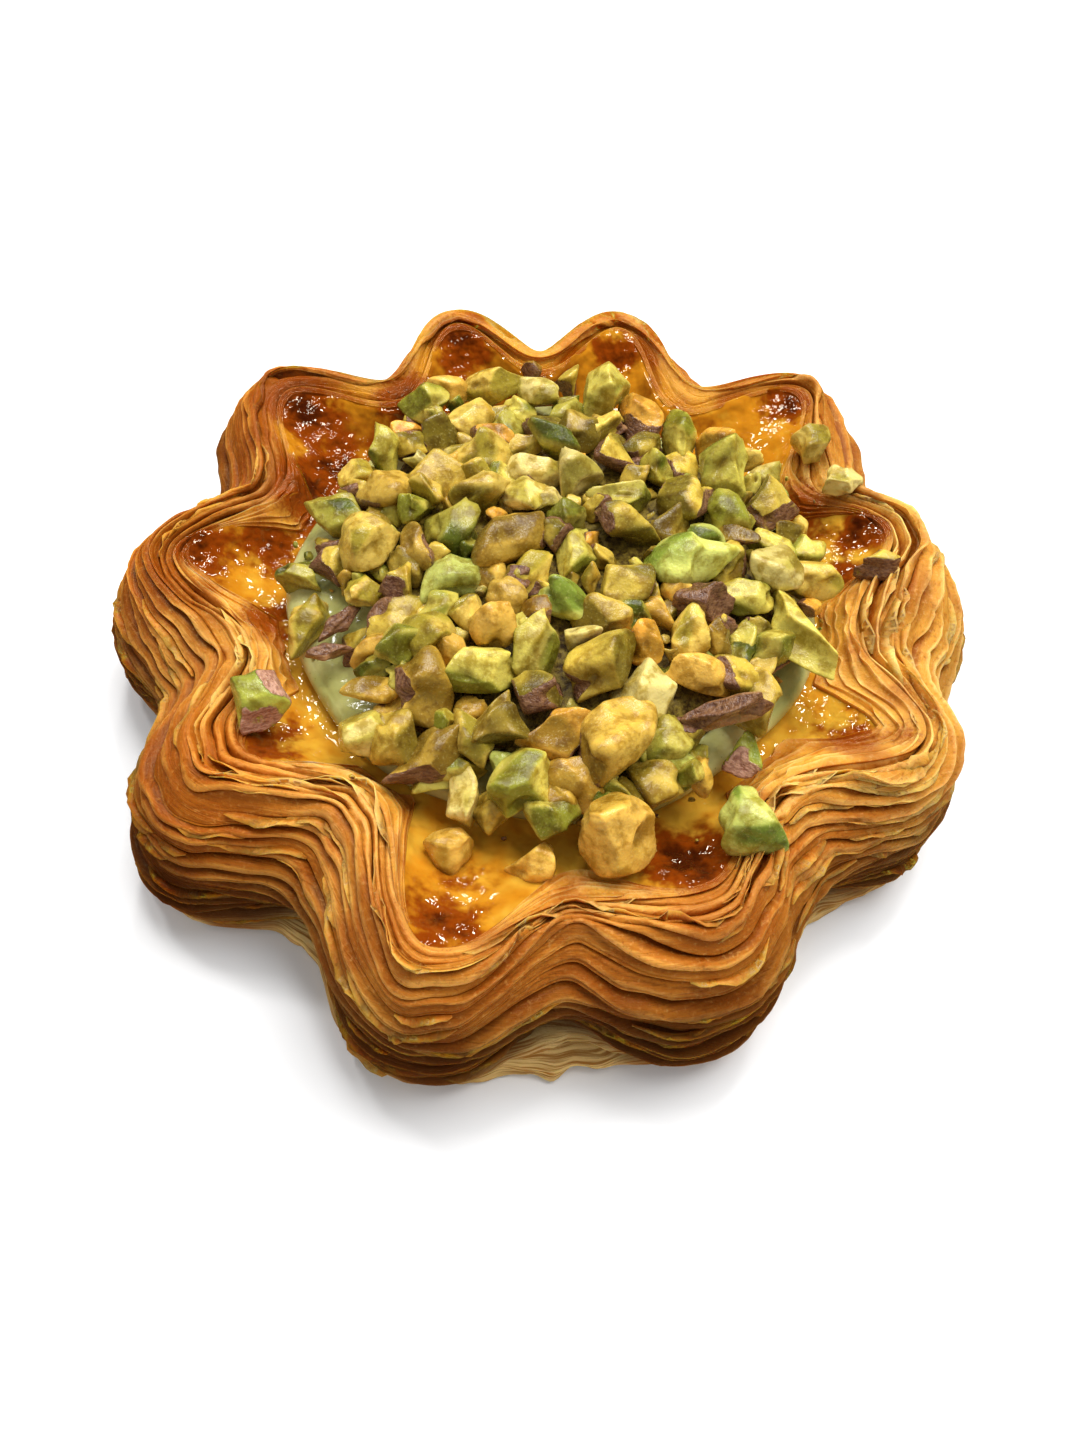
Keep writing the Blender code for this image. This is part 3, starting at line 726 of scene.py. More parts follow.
def nut_look():
    """Waxy cut flesh with fine cracks and specks, and dull wrinkled skin where it is left on."""
    look, tree = new_look("chopped_nut")
    flesh = node(tree, "VertexColor", layer_name="flesh").outputs["Color"]
    skin, pink, dent_shade = mask_of(tree, "skin")
    mottle = grain(tree, 1.6 * MM, 4, 0.6)
    fine = grain(tree, 0.26 * MM, 3, 0.6)
    wrinkle = grain(tree, 0.6 * MM, 3, 0.6, (1.0, 1.0, 2.6))
    deeper = blend(tree, 1.0, flesh, paint(186, 168, 80), "MULTIPLY")
    brown = blend(tree, pink, paint(140, 100, 68), paint(204, 156, 128))
    dark = blend(tree, pink, paint(92, 56, 38), paint(150, 100, 78))
    covered = between(tree, uneven(tree, skin, mottle, 1.8), 0.5, 0.8)
    colour = coated(
        tree, flesh,
        (between(tree, mottle, 0.42, 0.64, 0.0, 0.85), deeper),
        # Pale specks of dust that also paint small glints.
        (between(tree, fine, 0.56, 0.72, 0.0, 0.22), paint(250, 236, 150)),
        (between(tree, fine, 0.34, 0.22, 0.0, 0.4), paint(110, 74, 14)),
        (covered, blend(tree, between(tree, wrinkle, 0.32, 0.66), dark, brown)),
        # Painted shade in the dents.
        (between(tree, dent_shade, 0.0, 1.0, 0.0, 0.4), paint(126, 86, 16)),
    )
    wrinkled = calc(tree, "MULTIPLY", wrinkle, covered)
    return finish_look(
        look, colour, between(tree, mottle, 0.3, 0.7, 0.20, 0.36),
        bumped(tree, (mottle, 0.22 * MM), (fine, 0.04 * MM), (wrinkled, 0.2 * MM)),
        Subsurface_Weight=0.12, Subsurface_Scale=0.8 * MM, Subsurface_Radius=(1.0, 0.7, 0.2),
        Specular_IOR_Level=0.6,
    )


def bed_look():
    """Fine crumbs in the gaps of the heap, dark as painted shade between the nuts."""
    look, tree = new_look("nut_crumbs_and_gap_shade")
    crumbs = grain(tree, 0.8 * MM, 4, 0.65)
    colour = blend(tree, between(tree, crumbs, 0.35, 0.65), paint(70, 48, 10), paint(140, 118, 40))
    return finish_look(look, colour, 0.6, bumped(tree, (crumbs, 0.35 * MM)))


# ---- pastry -------------------------------------------------------------------------------


def leafy(angle):
    """How far the leaves stand up thin and sharp, as in the lobes on the right."""
    right = near_angle(angle, 84, 42) + near_angle(angle, 110, 28)
    left = 0.6 * near_angle(angle, 262, 26) + 0.5 * near_angle(angle, 300, 20)
    return held(right + left)


def smoothed_reach(angle, swell):
    """How far up the rim the baked glaze smooths it: furthest at the back and in the notches."""
    return 0.02 + 0.17 * near_angle(angle, -12, 90) + 0.05 * (1 - swell)


def calmness(angle, along, swell):
    """Share of the leaves' relief that shows at each place."""
    clear_of_glaze = eased(held((along - smoothed_reach(angle, swell)) / 0.05 + 0.5))
    back = near_angle(angle, -10, 75)
    least = 0.30 - 0.16 * back
    at_ends = np.interp(along, [0.9, LEAVES_END], [1, 0.5])
    return (least + (1 - least) * clear_of_glaze) * (1 - 0.35 * back) * at_ends


def leaf_starts(turn):
    """Where each leaf starts along the rim at every place round it: some swell as others thin out."""
    leaf, row, angle = np.arange(LEAVES)[:, None], turn[None], turn * TURN
    swelling = 0.50 * cloud(row, leaf * 0.6, 15, 11) + 0.36 * cloud(row, leaf * 1.3, 42, 12)
    swelling = swelling + 0.16 * cloud(row, leaf * 0.9, 96, 13)
    starts = np.concatenate([np.zeros((1, len(turn))), np.cumsum(np.exp(swelling), axis=0)])
    share = starts / starts[-1]
    notch = 1 - rim_lines(angle)[4]
    drape = notch * (0.05 + 0.09 * near_angle(angle, 173, 50))
    ruffled = held(near_angle(angle, 96, 34) + near_angle(angle, 250, 26))
    sway = 0.016 * cloud(row, share * 5, 64, 14) + 0.006 * cloud(row, share * 9, 150, 15)
    sway = sway + 0.016 * ruffled * held(1.3 - share / 0.4) * cloud(row, share * 7, 120, 16)
    return (share + (sway - drape) * np.sin(math.pi * share)) * LEAVES_END


def leaf_rows(first, last):
    """The leaf and the step on it of each row of points from one leaf to another."""
    leaf = np.repeat(np.arange(first, last), len(LEAF_STEPS))
    step = np.tile(np.arange(len(LEAF_STEPS)), last - first)
    return np.append(leaf, last), np.append(step, 0)


def crust_surface(angle, leaf, step):
    """Points of the laminated surface, with the masks of its looks."""
    starts = leaf_starts(angle / TURN)
    width = np.diff(starts, axis=0, append=LEAVES_END)
    along = starts[leaf] + LEAF_STEPS[step][:, None] * width[leaf]
    thickness = np.clip(width[np.minimum(leaf, LEAVES - 1)] * LEAVES, 0.4, 1.5)
    angle = np.broadcast_to(angle, along.shape)
    swell = rim_lines(angle)[4]
    calm = calmness(angle, along, swell) * thickness
    out, down, ridge_shading = leaf_relief(angle, along, leaf[:, None], step[:, None], calm)
    outward, downward = rim_directions(angle, along)
    points = rim_point(angle, along) + outward * out[..., None] + downward * down[..., None]
    points[..., :2] *= 1 + foot_reach(angle, along, swell)[..., None] * MM / FOOT_RADIUS
    points[..., 2] = np.maximum(points[..., 2], OFF_TABLE)
    masks = {
        "leaves": np.stack([ridge_shading, along, golden_side(angle, along, swell)], axis=-1),
        "bake": np.stack(bake_masks(points, angle, along, swell), axis=-1),
        "foot": foot_mask(angle, along, swell)[..., None] * np.ones(3),
    }
    return points, masks


def leaf_relief(angle, along, leaf, step, calm):
    """How far (m) each point stands out of the rim and down it, and the painted light and shade of its
    leaf there.
    """
    turn, share, stand = angle / TURN, LEAF_STEPS[step], leafy(angle)
    place = leaf + share
    behind, ahead = groove_strength(turn, leaf), groove_strength(turn, leaf + 1)
    shape = ROUNDED_LEAF[step] * (1 - stand[..., None]) + STANDING_LEAF[step] * stand[..., None]
    frayed = held(cloud(turn, place * 0.4, 26, 20) + 0.25)
    ragged = 1 + (0.06 + 0.22 * frayed) * (0.45 + 0.55 * stand) * cloud(turn, place * 0.7, 420, 21)
    nicks = np.clip(cloud(turn, place * 0.5, 200, 22) - 0.6, 0, 0.4) * (0.8 + 1.4 * stand)
    face = shape[..., 2] * ahead * (ragged - nicks * (shape[..., 4] > 0.1))
    grooves = shape[..., 1] * behind + shape[..., 3] * ahead
    fine = FINE_LEDGES[step] * (0.6 + 0.6 * cloud(turn, place / 2, 40, 31))
    fine = fine * FINE_LEDGE * np.interp(along, [0, 0.3, 0.6, 1], [0.3, 0.8, 1.6, 1.6])
    lumps = 0.22 * cloud(turn, along * 9, 46, 41) + 0.13 * cloud(turn, along * 22, 110, 42)
    lumps = lumps + 0.05 * cloud(turn, place, 330, 43)
    out = calm * (LEAF_FACE * face - LEAF_GROOVE * grooves - LEAF_SETBACK)
    out = out - BACK_SETBACK * near_angle(angle, -8, 75)
    out = out + fine * calm + lumps * MM * (0.5 + 0.5 * calm)
    down = LEAF_REACH * calm * shape[..., 4] * ahead * ragged
    # Painted light and shade of the leaves: a painted highlight at the lip, lighter up the face, painted
    # shade in the grooves.
    lip_place, lip_width = 0.72 + 0.14 * stand, 0.20 - 0.09 * stand
    pale_lit_lip = np.exp(-(((share - lip_place) / lip_width) ** 2)) * np.clip(ahead * 1.4, 0.1, 1)
    rising = 0.22 * (share - 0.45)
    ridge_shading = held(0.46 + rising + 0.42 * pale_lit_lip - 0.5 * held(grooves) + 2 * fine / MM)
    return out, down, 0.5 + (ridge_shading - 0.5) * held(calm * 1.3)


def groove_strength(turn, leaf):
    """How deep the groove before a leaf is at each place, from nearly none where leaves merge."""
    return np.clip(0.62 + 1.15 * cloud(turn, leaf * 2.0, 26, 7), 0.06, 1.6)


def foot_reach(angle, along, swell):
    """How far (mm) the pale foot of the pastry sticks out in the notches at the front."""
    front = near_angle(angle, 172, 70)
    ragged = 1 + 0.3 * cloud(angle / TURN, along * 8, 130, 47)
    return 4.0 * front * ragged * (1 - swell) ** 1.5 * eased(held((along - 0.80) / 0.12))


def foot_mask(angle, along, swell):
    """Where the pastry is pale: its foot in the notches, and scraps of its lowest edge elsewhere."""
    in_notch = foot_reach(angle, along, swell) / 1.6
    scraps = eased(held((along - 0.87) / 0.06)) * (cloud(angle / TURN, along * 10, 60, 48) + 0.42)
    return held(np.maximum(in_notch, scraps))


def golden_side(angle, along, swell):
    """Paler, yellower pastry on the right and on the slopes between the lobes."""
    sides = 0.15 + 0.65 * near_angle(angle, 95, 80) + 0.12 * ripple(angle, 5, (3, 5, 8))
    sides = sides + 0.55 * near_angle(angle, -8, 60) * held(1.5 - along / 0.3)
    sides = sides - 0.3 * near_angle(angle, -72, 45) * held(1.5 - along / 0.3)
    inner_notch = (1 - swell) * held(1.2 - along / 0.22)
    return held(sides + 0.75 * inner_notch)


def caramel_at(points):
    """How burnt the sugar is at each point, by its distance to the nearest caramel spots."""
    burnt = np.zeros(points.shape[:-1])
    for degrees, distance, size, darkness in CARAMEL:
        spot_angle = math.radians(degrees)
        across = points[..., 0] - distance * MM * math.sin(spot_angle)
        back = points[..., 1] - distance * MM * math.cos(spot_angle)
        burnt = np.maximum(burnt, darkness * np.exp(-(across**2 + back**2) / (size * MM) ** 2))
    return burnt


def bake_masks(points, angle, along, swell):
    """Glaze on the inside of the rim, caramel, and painted shade below the overhanging leaves in the
    notches and on the left of the crest.
    """
    reach = 0.02 + 0.17 * near_angle(angle, -12, 100)
    glaze = eased(held(1.3 - along / reach))
    caramel = caramel_at(points) * eased(held(1.6 - along / (reach + 0.03)))
    shade = (1 - swell) * held((along - 0.56) / 0.1) * held((0.92 - along) / 0.08)
    # Painted shade on the left of the crest, the side turned from the light.
    left_crest_shade = near_angle(angle, -85, 50) * held(1.4 - along / 0.3)
    return glaze, caramel, np.maximum(0.7 * shade, 0.28 * left_crest_shade)


def build_crust(look):
    """The crust in three closed bands that follow its leaves, from the custard to the base."""
    angle = even_angles(COLUMNS)
    edge = rim_lines(angle)[0]
    for name, first, last in BANDS:
        rings, masks = crust_surface(angle, *leaf_rows(first, last))
        hidden = [level_ring(angle, edge * 0.9, FLOOR_HEIGHT + 3 * MM)]
        if last == LEAVES:
            foot = np.linalg.norm(rings[-1, :, :2], axis=-1)
            hidden = [level_ring(angle, foot * share, OFF_TABLE) for share in BASE_SHARES] + hidden
        piece = ringed_piece(name, rings, hidden, look, masks, SHARP_EDGE)
        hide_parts("pastry_crust")


def torn_strips(middle, along, length, width, lean, thickness, draw):
    """Points, faces and masks of thin torn strips that stand off the rim, each round its own place."""
    count, steps = len(middle), STRIP_STEPS
    share = np.linspace(0, 1, steps)[None, :]
    angle = middle[:, None] + (share - 0.5) * length[:, None] / RIM_RADIUS
    waves = np.sin(TURN * (share * 1.5 + draw.random((count, 1))))
    outward, downward = rim_directions(angle, along)
    lean = np.radians(lean[:, None] + 25 * waves)
    strip = 3.0 * np.arange(count)[:, None] + 0 * share
    torn = 1 + 0.25 * cloud(middle[:, None] / TURN + share * 0.12, strip, 300, 81)
    width = width[:, None] * np.sin(math.pi * share) ** 0.5 * torn
    across = outward * np.cos(lean)[..., None] + downward * np.sin(lean)[..., None]
    facing = outward * np.sin(lean)[..., None] - downward * np.cos(lean)[..., None]
    root = rim_point(angle, along) - outward * STRIP_ROOT
    tip = root + across * (width + STRIP_ROOT)[..., None]
    half = thickness / 2 * facing
    points = np.stack([root + half, tip + half * 0.5, tip - half * 0.5, root - half], axis=2)
    points[..., 2] = np.maximum(points[..., 2], 0.05 * MM)
    corner = np.arange(count * steps * 4).reshape(count, steps, 4)
    following = np.roll(corner, -1, 2)
    sides = np.stack([corner[:, :-1], corner[:, 1:], following[:, 1:], following[:, :-1]], axis=-1)
    faces = np.concatenate([sides.reshape(-1, 4), corner[:, 0], corner[:, -1, ::-1]])
    golden = golden_side(angle, along, rim_lines(angle)[4])
    # The first mask paints the strips mid-tone at their roots and pale and lit at their tips, a painted
    # highlight as on the leaves' lips.
    values = (np.array([0.5, 1.0, 1.0, 0.5]), along[..., None], golden[..., None])
    leaves = [np.broadcast_to(value, corner.shape) for value in values]
    bare = np.zeros((corner.size, 3))
    masks = {"leaves": np.stack(leaves, axis=-1).reshape(-1, 3), "bake": bare, "foot": bare}
    return points.reshape(-1, 3), faces, masks


def build_flakes(look):
    """Small flakes along the leaves' lips, and wider sheets that come loose between the lobes."""
    draw = np.random.default_rng(17)
    steps = np.linspace(-0.5, 0.5, STRIP_STEPS)
    length = draw.uniform(3, 13, FLAKES) * MM
    middle = np.radians(draw.uniform(62, 290, FLAKES))
    leaf = draw.integers(3, LEAVES, FLAKES)
    turns = (middle[:, None] + steps * length[:, None] / RIM_RADIUS) / TURN % 1
    starts = np.stack([leaf_starts(turn)[k] for turn, k in zip(turns, leaf)])
    along = np.clip(starts - 0.006 + draw.uniform(-0.006, 0.006, (FLAKES, 1)), 0.02, 0.97)
    width, lean = draw.uniform(0.25, 0.95, FLAKES) * MM, draw.uniform(15, 75, FLAKES)
    flakes = torn_strips(middle, along, length, width, lean, FLAKE_THICKNESS, draw)
    sheet = np.array(SHEETS)
    along = sheet[:, 1:2] + sheet[:, 2:3] * steps
    middle, lengths, widths = np.radians(sheet[:, 0]), sheet[:, 3] * MM, sheet[:, 4] * MM
    sheets = torn_strips(middle, along, lengths, widths, sheet[:, 5], SHEET_THICKNESS, draw)
    for name, (points, faces, masks) in (("crust_flakes", flakes), ("crust_sheets", sheets)):
        piece = made_piece(name, points, faces, look, masks)
        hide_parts("pastry_crust")


def lining_reach(angle):
    """How far the leaves come in over the custard at each angle."""
    each = [reach * MM * near_angle(angle, middle, width) for middle, width, reach in LININGS]
    return np.max(each, axis=0)


def build_lining(look):
    """The pale ruffled leaves that slope from the crest down over the custard between the lobes."""
    angle = even_angles(LINING_COLUMNS)
    row, edge, reach = angle[None] / TURN, rim_lines(angle)[0], lining_reach(angle)
    leaf = np.repeat(np.arange(LINING_LEAVES), len(LINING_STEPS))[:, None]
    place, lift, pale = np.tile(LINING_STEPS, (LINING_LEAVES, 1)).T[..., None]
    start = edge + 1.4 * MM
    end = np.maximum(edge + 0.6 * MM - reach, LINING_END)
    share = (leaf + place) / LINING_LEAVES
    share = share + 0.07 * cloud(row, share * 6, 90, 91) * np.sin(math.pi * share)
    ruffle = cloud(row, leaf * 1.7 + place, 170, 92) * lift
    wide = np.clip(reach / (2 * MM), 0.1, 1)
    radius = start + (end - start) * share + 0.45 * MM * ruffle * wide
    full_angle = np.broadcast_to(angle, radius.shape)
    raised = LINING_LIP * wide * lift * (1 + 0.7 * cloud(row, leaf * 2.3 + place, 130, 93))
    top = skin_height(full_angle, radius) + LINING_THICKNESS * np.sqrt(wide) * (1.25 - share) + raised
    points = level_ring(full_angle, radius, top)
    smooth = np.ones_like(radius)
    glaze = held(0.15 + 0.5 * share**2 + 0.4 * near_angle(full_angle, -10, 90)) * smooth
    golden = held(0.6 + 0.4 * wide - 0.25 * near_angle(full_angle, 205, 40)) * smooth
    masks = {
        # The first mask paints the lining's leaves with painted shade at their covered ends and a painted
        # highlight at their lips.
        "leaves": np.stack([pale * smooth, 0.08 * smooth, golden], axis=-1),
        "bake": np.stack([glaze, 0.8 * caramel_at(points), 0 * smooth], axis=-1),
        "foot": np.zeros((*radius.shape, 3)),
    }
    inner = level_ring(angle, radius[-1], skin_height(angle, radius[-1]) - 0.5 * MM)
    outer = level_ring(angle, start, skin_height(angle, start) - 1.2 * MM)
    hidden = [inner, outer]
    piece = ringed_piece("crust_lining", points, hidden, look, masks, SHARP_EDGE, flipped=True)
    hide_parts("pastry_crust")


# ---- custard and cream ----------------------------------------------------------------------


def custard_height(angle, radius):
    """The custard's top: flat under the cream, rising to the crust outside it."""
    edge, edge_height = rim_lines(angle)[:2]
    climb = (radius - CREAM_BED_RADIUS) / (edge - GAP - CREAM_BED_RADIUS)
    top = edge_height - CUSTARD_BELOW_EDGE
    return CUSTARD_LEVEL + (top - CUSTARD_LEVEL) * held(climb) ** CUSTARD_CURL


def skin_height(angle, radius):
    """The custard's skin, which climbs a little up the crust and thins out on it."""
    edge, edge_height = rim_lines(angle)[:2]
    over = np.clip(radius - edge, 0, None)
    climb = (radius - CREAM_BED_RADIUS) / (edge - CREAM_BED_RADIUS)
    level = CUSTARD_LEVEL + (edge_height + 0.1 * MM - CUSTARD_LEVEL) * held(climb) ** CUSTARD_CURL
    return level + over * (SKIN_SLOPE - 0.25)


def build_custard(look):
    """The baked skin from under the cream into every lobe, with wrinkles and blisters."""
    rows, columns = CUSTARD_GRID
    ring = even_angles(columns)
    inner = CREAM_BED_RADIUS - 2.5 * MM
    radius = inner + (rim_lines(ring)[0] + 1.3 * MM - inner) * np.linspace(0, 1, rows)[:, None]
    angle = np.broadcast_to(ring, radius.shape)
    turn = angle / TURN
    points = level_ring(angle, radius, skin_height(angle, radius))
    caramel = caramel_at(points)
    swells = 0.22 * cloud(turn, radius / (2.6 * MM), 90, 51)
    wrinkles = cloud(turn, radius / (0.9 * MM), 260, 52) * (0.07 + 0.18 * caramel)
    points[..., 2] += (swells + wrinkles) * MM * held((radius - CREAM_BED_RADIUS + MM) / MM)
    out = held((radius - CREAM_BED_RADIUS) / (11 * MM))
    valley = wavy(angle, VALLEY_ANGLES, VALLEY_RADII, SADDLE_RADII, EDGE_FULLNESS)[1]
    at_back = 1.0 - 0.75 * out + 0.25 * valley * out
    at_front = 0.12 + 0.42 * valley * out
    brown = held(at_front + (at_back - at_front) * near_angle(angle, -22, 105))
    masks = {"bake": np.stack([brown, caramel, out], axis=-1)}
    hidden = [level_ring(ring, inner, FLOOR_HEIGHT)]
    piece = ringed_piece("custard_skin", points, hidden, look, masks, flipped=True)
    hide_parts("egg_custard")


def cream_height(radius):
    """The cream's domed top."""
    return CREAM_SHOULDER + CREAM_RISE * (1 - (radius / CREAM_RADIUS) ** 2)


def build_cream(look):
    """The domed disc of cream, a little uneven where it was spread."""
    rows, columns = CREAM_GRID
    angle = np.arange(columns) * TURN / columns
    outline = CREAM_RADIUS + CREAM_UNEVENNESS * ripple(angle, 9, (3, 4, 7))
    wide, high = CREAM_EDGE
    rings = []
    for bend in np.radians(np.linspace(-70, 85, 12)):
        out, up = -wide + wide * math.cos(bend), CREAM_SHOULDER - high + high * math.sin(bend)
        rings.append(level_ring(angle, outline + out, up))
    for share in np.linspace(0.95, 0.02, rows):
        rings.append(level_ring(angle, outline * share, cream_height(outline * share)))
    points = np.array(rings)
    reach = np.hypot(points[..., 0], points[..., 1])
    turn = np.broadcast_to(angle / TURN, reach.shape)
    waves = 0.30 * cloud(turn, reach / (5 * MM), 24, 61) + 0.10 * cloud(turn, reach / (2 * MM), 60, 62)
    points[..., 2] += waves * MM * held((points[..., 2] - CREAM_SHOULDER + MM) / MM)
    hidden = [level_ring(angle, MM, CUSTARD_LEVEL - MM)]
    piece = ringed_piece("cream_disc", points, hidden, look)
    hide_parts("pistachio_cream")


# ---- nuts ---------------------------------------------------------------------------------


def heap_reach(angle):
    """How far the heap goes at an angle in radians."""
    directions = np.arange(13) * 30
    return np.interp(np.degrees(angle) % 360, directions, np.append(HEAP_REACH, HEAP_REACH[0]))


def build_nut_bed(look):
    """The layer of crumbs on the cream that carries the heap's nuts; its dark colour paints the shade in
    the heap's gaps.
    """
    rows, columns = BED_GRID
    angle = np.arange(columns) * TURN / columns
    reach = np.minimum(heap_reach(angle), CREAM_RADIUS) * BED_SHARE
    rings = [level_ring(angle, reach * 0.96, cream_height(reach) - MM)]
    for share in np.linspace(1, 0.01, rows):
        lift = GAP + BED_THICKNESS * min(1, (1 - share) * 8)
        rings.append(level_ring(angle, reach * share, cream_height(reach * share) + lift))
    points = np.array(rings)
    distance = np.hypot(points[..., 0], points[..., 1])
    turn = np.broadcast_to(angle / TURN, distance.shape)
    points[..., 2] += 0.35 * MM * cloud(turn, distance / (0.9 * MM), 110, 71)
    return ringed_piece("crumb_bed_and_gap_shade", points, [level_ring(angle, MM, CREAM_SHOULDER)], look)


def nut_block(seed):
    """A unit block with slanting sides and a few knife strokes off it, as a bmesh."""
    draw = random.Random(seed)
    mesh = bmesh.new()
    sides, taper = draw.choice((3, 4, 4, 5)), draw.uniform(0.55, 0.9)
    bmesh.ops.create_cone(
        mesh, cap_ends=True, segments=sides, radius1=0.66, radius2=0.66 * taper, depth=1
    )
    for _ in range(NUT_CUTS):
        stroke = Vector([draw.choice((-1, 1)) * draw.uniform(0.3, 1) for _ in range(3)])
        stroke.normalize()
        reach = max(stroke.dot(vert.co) for vert in mesh.verts)
        place = stroke * reach * draw.uniform(0.6, 0.8)
        everything = mesh.verts[:] + mesh.edges[:] + mesh.faces[:]
        cut = bmesh.ops.bisect_plane(
            mesh, geom=everything, plane_co=place, plane_no=stroke, clear_outer=True
        )
        rim = [part for part in cut["geom_cut"] if isinstance(part, bmesh.types.BMEdge)]
        bmesh.ops.holes_fill(mesh, edges=rim, sides=0)
    return mesh


def crust_height(angle, radius):
    """The height of the rim's top at a place, or 0 inside the custard's edge."""
    edge, edge_height, outer, crest = rim_lines(angle)[:4]
    across = (radius - edge) / (outer - edge)
    share = np.interp(across, RIM_SECTION[:3, 1], RIM_SECTION[:3, 3])
    inner_side = edge_height + (crest - edge_height) * share
    outer_side = np.interp(across, RIM_SECTION[2:7, 1], RIM_SECTION[2:7, 3]) * crest
    height = np.where(across < CREST_PLACE, inner_side, outer_side)
    return np.where(across < 0, 0, height + LIP_HEIGHT)


def ground_height(x, y, carrier=""):
    """What lies under a nut at a place: the cream, the custard and the crust, less its carrier."""
    angle, radius = np.arctan2(x, y), np.hypot(x, y)
    tops = {
        "egg_custard": np.where(crust_height(angle, radius - MM) > 0, 0, custard_height(angle, radius)),
        "pastry_crust": crust_height(angle, radius + GAP),
        "pistachio_cream": np.where(radius < CREAM_BED_RADIUS, cream_height(radius), 0),
    }
    return np.max([top for name, top in tops.items() if name != carrier], axis=0)


def spot_of(nut):
    """Where a nut lies, seen from above, in millimetres."""
    angle = math.radians(nut[0])
    return Vector((nut[1] * math.sin(angle), nut[1] * math.cos(angle)))


def has_room(nut, places):
    """Whether a new nut lies clear enough of the heap's others, and well clear of the strays."""
    def far_from(other, share):
        return (spot_of(nut) - spot_of(other)).length > share * (nut[2] + other[2])

    in_heap = all(far_from(other, CLOSENESS) for other in places)
    return in_heap and all(far_from(other, STRAY_CLOSENESS) for other in STRAY_NUTS)


def nut_places():
    """The heap's nuts, the marked ones first and then ever smaller ones where there is room."""
    draw, kinds = random.Random(41), random.Random(43)
    places = list(HEAP_NUTS)
    longest, shortest = NUT_LENGTHS
    for number in range(MORE_NUTS):
        length = longest + (shortest - longest) * number / MORE_NUTS
        width = length * draw.uniform(0.52, 0.85)
        thickness = length * draw.uniform(0.42, 0.7)
        heading = draw.uniform(0, 180)
        for _ in range(NUT_TRIES):
            angle = draw.uniform(0, 360)
            reach = heap_reach(math.radians(angle)) / MM - 0.3 * length
            nut = (angle, reach * math.sqrt(draw.random()), length, width, thickness, heading)
            if has_room(nut, places):
                places.append((*nut, kinds.choice(COMMON_KINDS)))
                break
    return places


def filler_places(others, count, longest, shortest, seed, start=0, end=360, inner=0):
    """Smaller pieces for the heap's widest gaps, in a sector, beyond a share of the heap's reach."""
    draw = random.Random(seed)
    places = []
    for number in range(count):
        length = longest + (shortest - longest) * number / count
        spots = []
        for _ in range(GAP_TRIES):
            angle, share = draw.uniform(start, end), math.sqrt(draw.uniform(inner**2, 1))
            spots.append((angle, (heap_reach(math.radians(angle)) / MM - 1.5) * share))
        sizes = length, length * draw.uniform(0.5, 0.9), length * draw.uniform(0.4, 0.75)
        rest = (*sizes, draw.uniform(0, 180), draw.choice(COMMON_KINDS))
        widest = max(spots, key=lambda spot: room_at(spot, others + places))
        places.append((*widest, *rest))
    return places


def room_at(spot, places):
    """How far a spot is from the side of the nearest nut, in millimetres."""
    return min((spot_of(spot) - spot_of(nut)).length - 0.42 * nut[2] for nut in places)


def crumb_places():
    """Tiny crumbs scattered over and beside the heap."""
    draw = random.Random(53)
    places = []
    for _ in range(CRUMBS):
        angle, length = draw.uniform(0, 360), draw.uniform(0.5, 1.4)
        reach = min(heap_reach(math.radians(angle)) / MM + draw.gauss(-1, 2.5), 35)
        sizes = length * draw.uniform(0.5, 0.9), length * draw.uniform(0.3, 0.7)
        places.append((angle, reach, length, *sizes, draw.uniform(0, 180), draw.choice(COMMON_KINDS)))
    return places


def nut_placement(nut, seed, middle, lean):
    """The matrix that brings a unit block to a nut's size and place, leaning by so many degrees."""
    length, width, thickness, heading = nut[2:6]
    draw = random.Random(seed)
    tilt = Matrix.Rotation(math.radians(draw.uniform(-lean, lean)), 4, "X")
    roll = Matrix.Rotation(math.radians(draw.uniform(-lean, lean)), 4, "Y")
    turn = Matrix.Rotation(math.radians(-heading), 4, "Z")
    size = Matrix.Diagonal((width * MM, length * MM, thickness * MM, 1))
    x, y = spot_of(nut) * MM
    return Matrix.Translation((x, y, middle)) @ turn @ tilt @ roll @ size


def lift_clear(block, placement, carrier=""):
    """How far a nut has to rise to be clear of every node but its carrier."""
    points = [placement @ vert.co for vert in block.verts]
    for edge in block.edges:
        start, end = (placement @ vert.co for vert in edge.verts)
        points.extend(start.lerp(end, share) for share in (0.25, 0.5, 0.75))
    points = np.array(points)
    above = points[:, 2] - ground_height(points[:, 0], points[:, 1], carrier)
    return max(0, GAP + 0.1 * MM - float(above.min()))


def room_below(points, carrier):
    """How far a fallen nut can still sink, until it stands in its carrier or near another node."""
    above_all = points[:, 2] - ground_height(points[:, 0], points[:, 1])
    above_others = points[:, 2] - ground_height(points[:, 0], points[:, 1], carrier)
    return max(0, min(float(above_all.min()) + SUNK, float(above_others.min()) - 0.1 * MM))


@functools.cache
def ball(detail):
    """The points and triangles of an even unit ball."""
    mesh = bmesh.new()
    bmesh.ops.create_icosphere(mesh, subdivisions=detail, radius=1)
    points = np.array([vert.co for vert in mesh.verts])
    faces = np.array([[vert.index for vert in face.verts] for face in mesh.faces])
    mesh.free()
    return points, faces


def lumps_on_ball(directions, count, sharpness, draw):
    """Smooth random lumps over a ball of directions, from about -1 to 1."""
    centres = draw.normal(size=(count, 3))
    centres /= np.linalg.norm(centres, axis=1, keepdims=True)
    heights = draw.uniform(-1, 1, count)
    near = np.exp(sharpness * (directions @ centres.T - 1))
    return (near * heights).sum(axis=1)


def bent(points, amount, waves, draw):
    """Points moved by a few smooth waves, so that straight edges and flat faces bend."""
    for _ in range(waves):
        along, towards = draw.normal(size=(2, 3))
        along *= draw.uniform(3, 6.5) / np.linalg.norm(along)
        towards *= amount / np.linalg.norm(towards)
        points = points + np.sin(points @ along + draw.uniform(0, TURN))[:, None] * towards
    return points


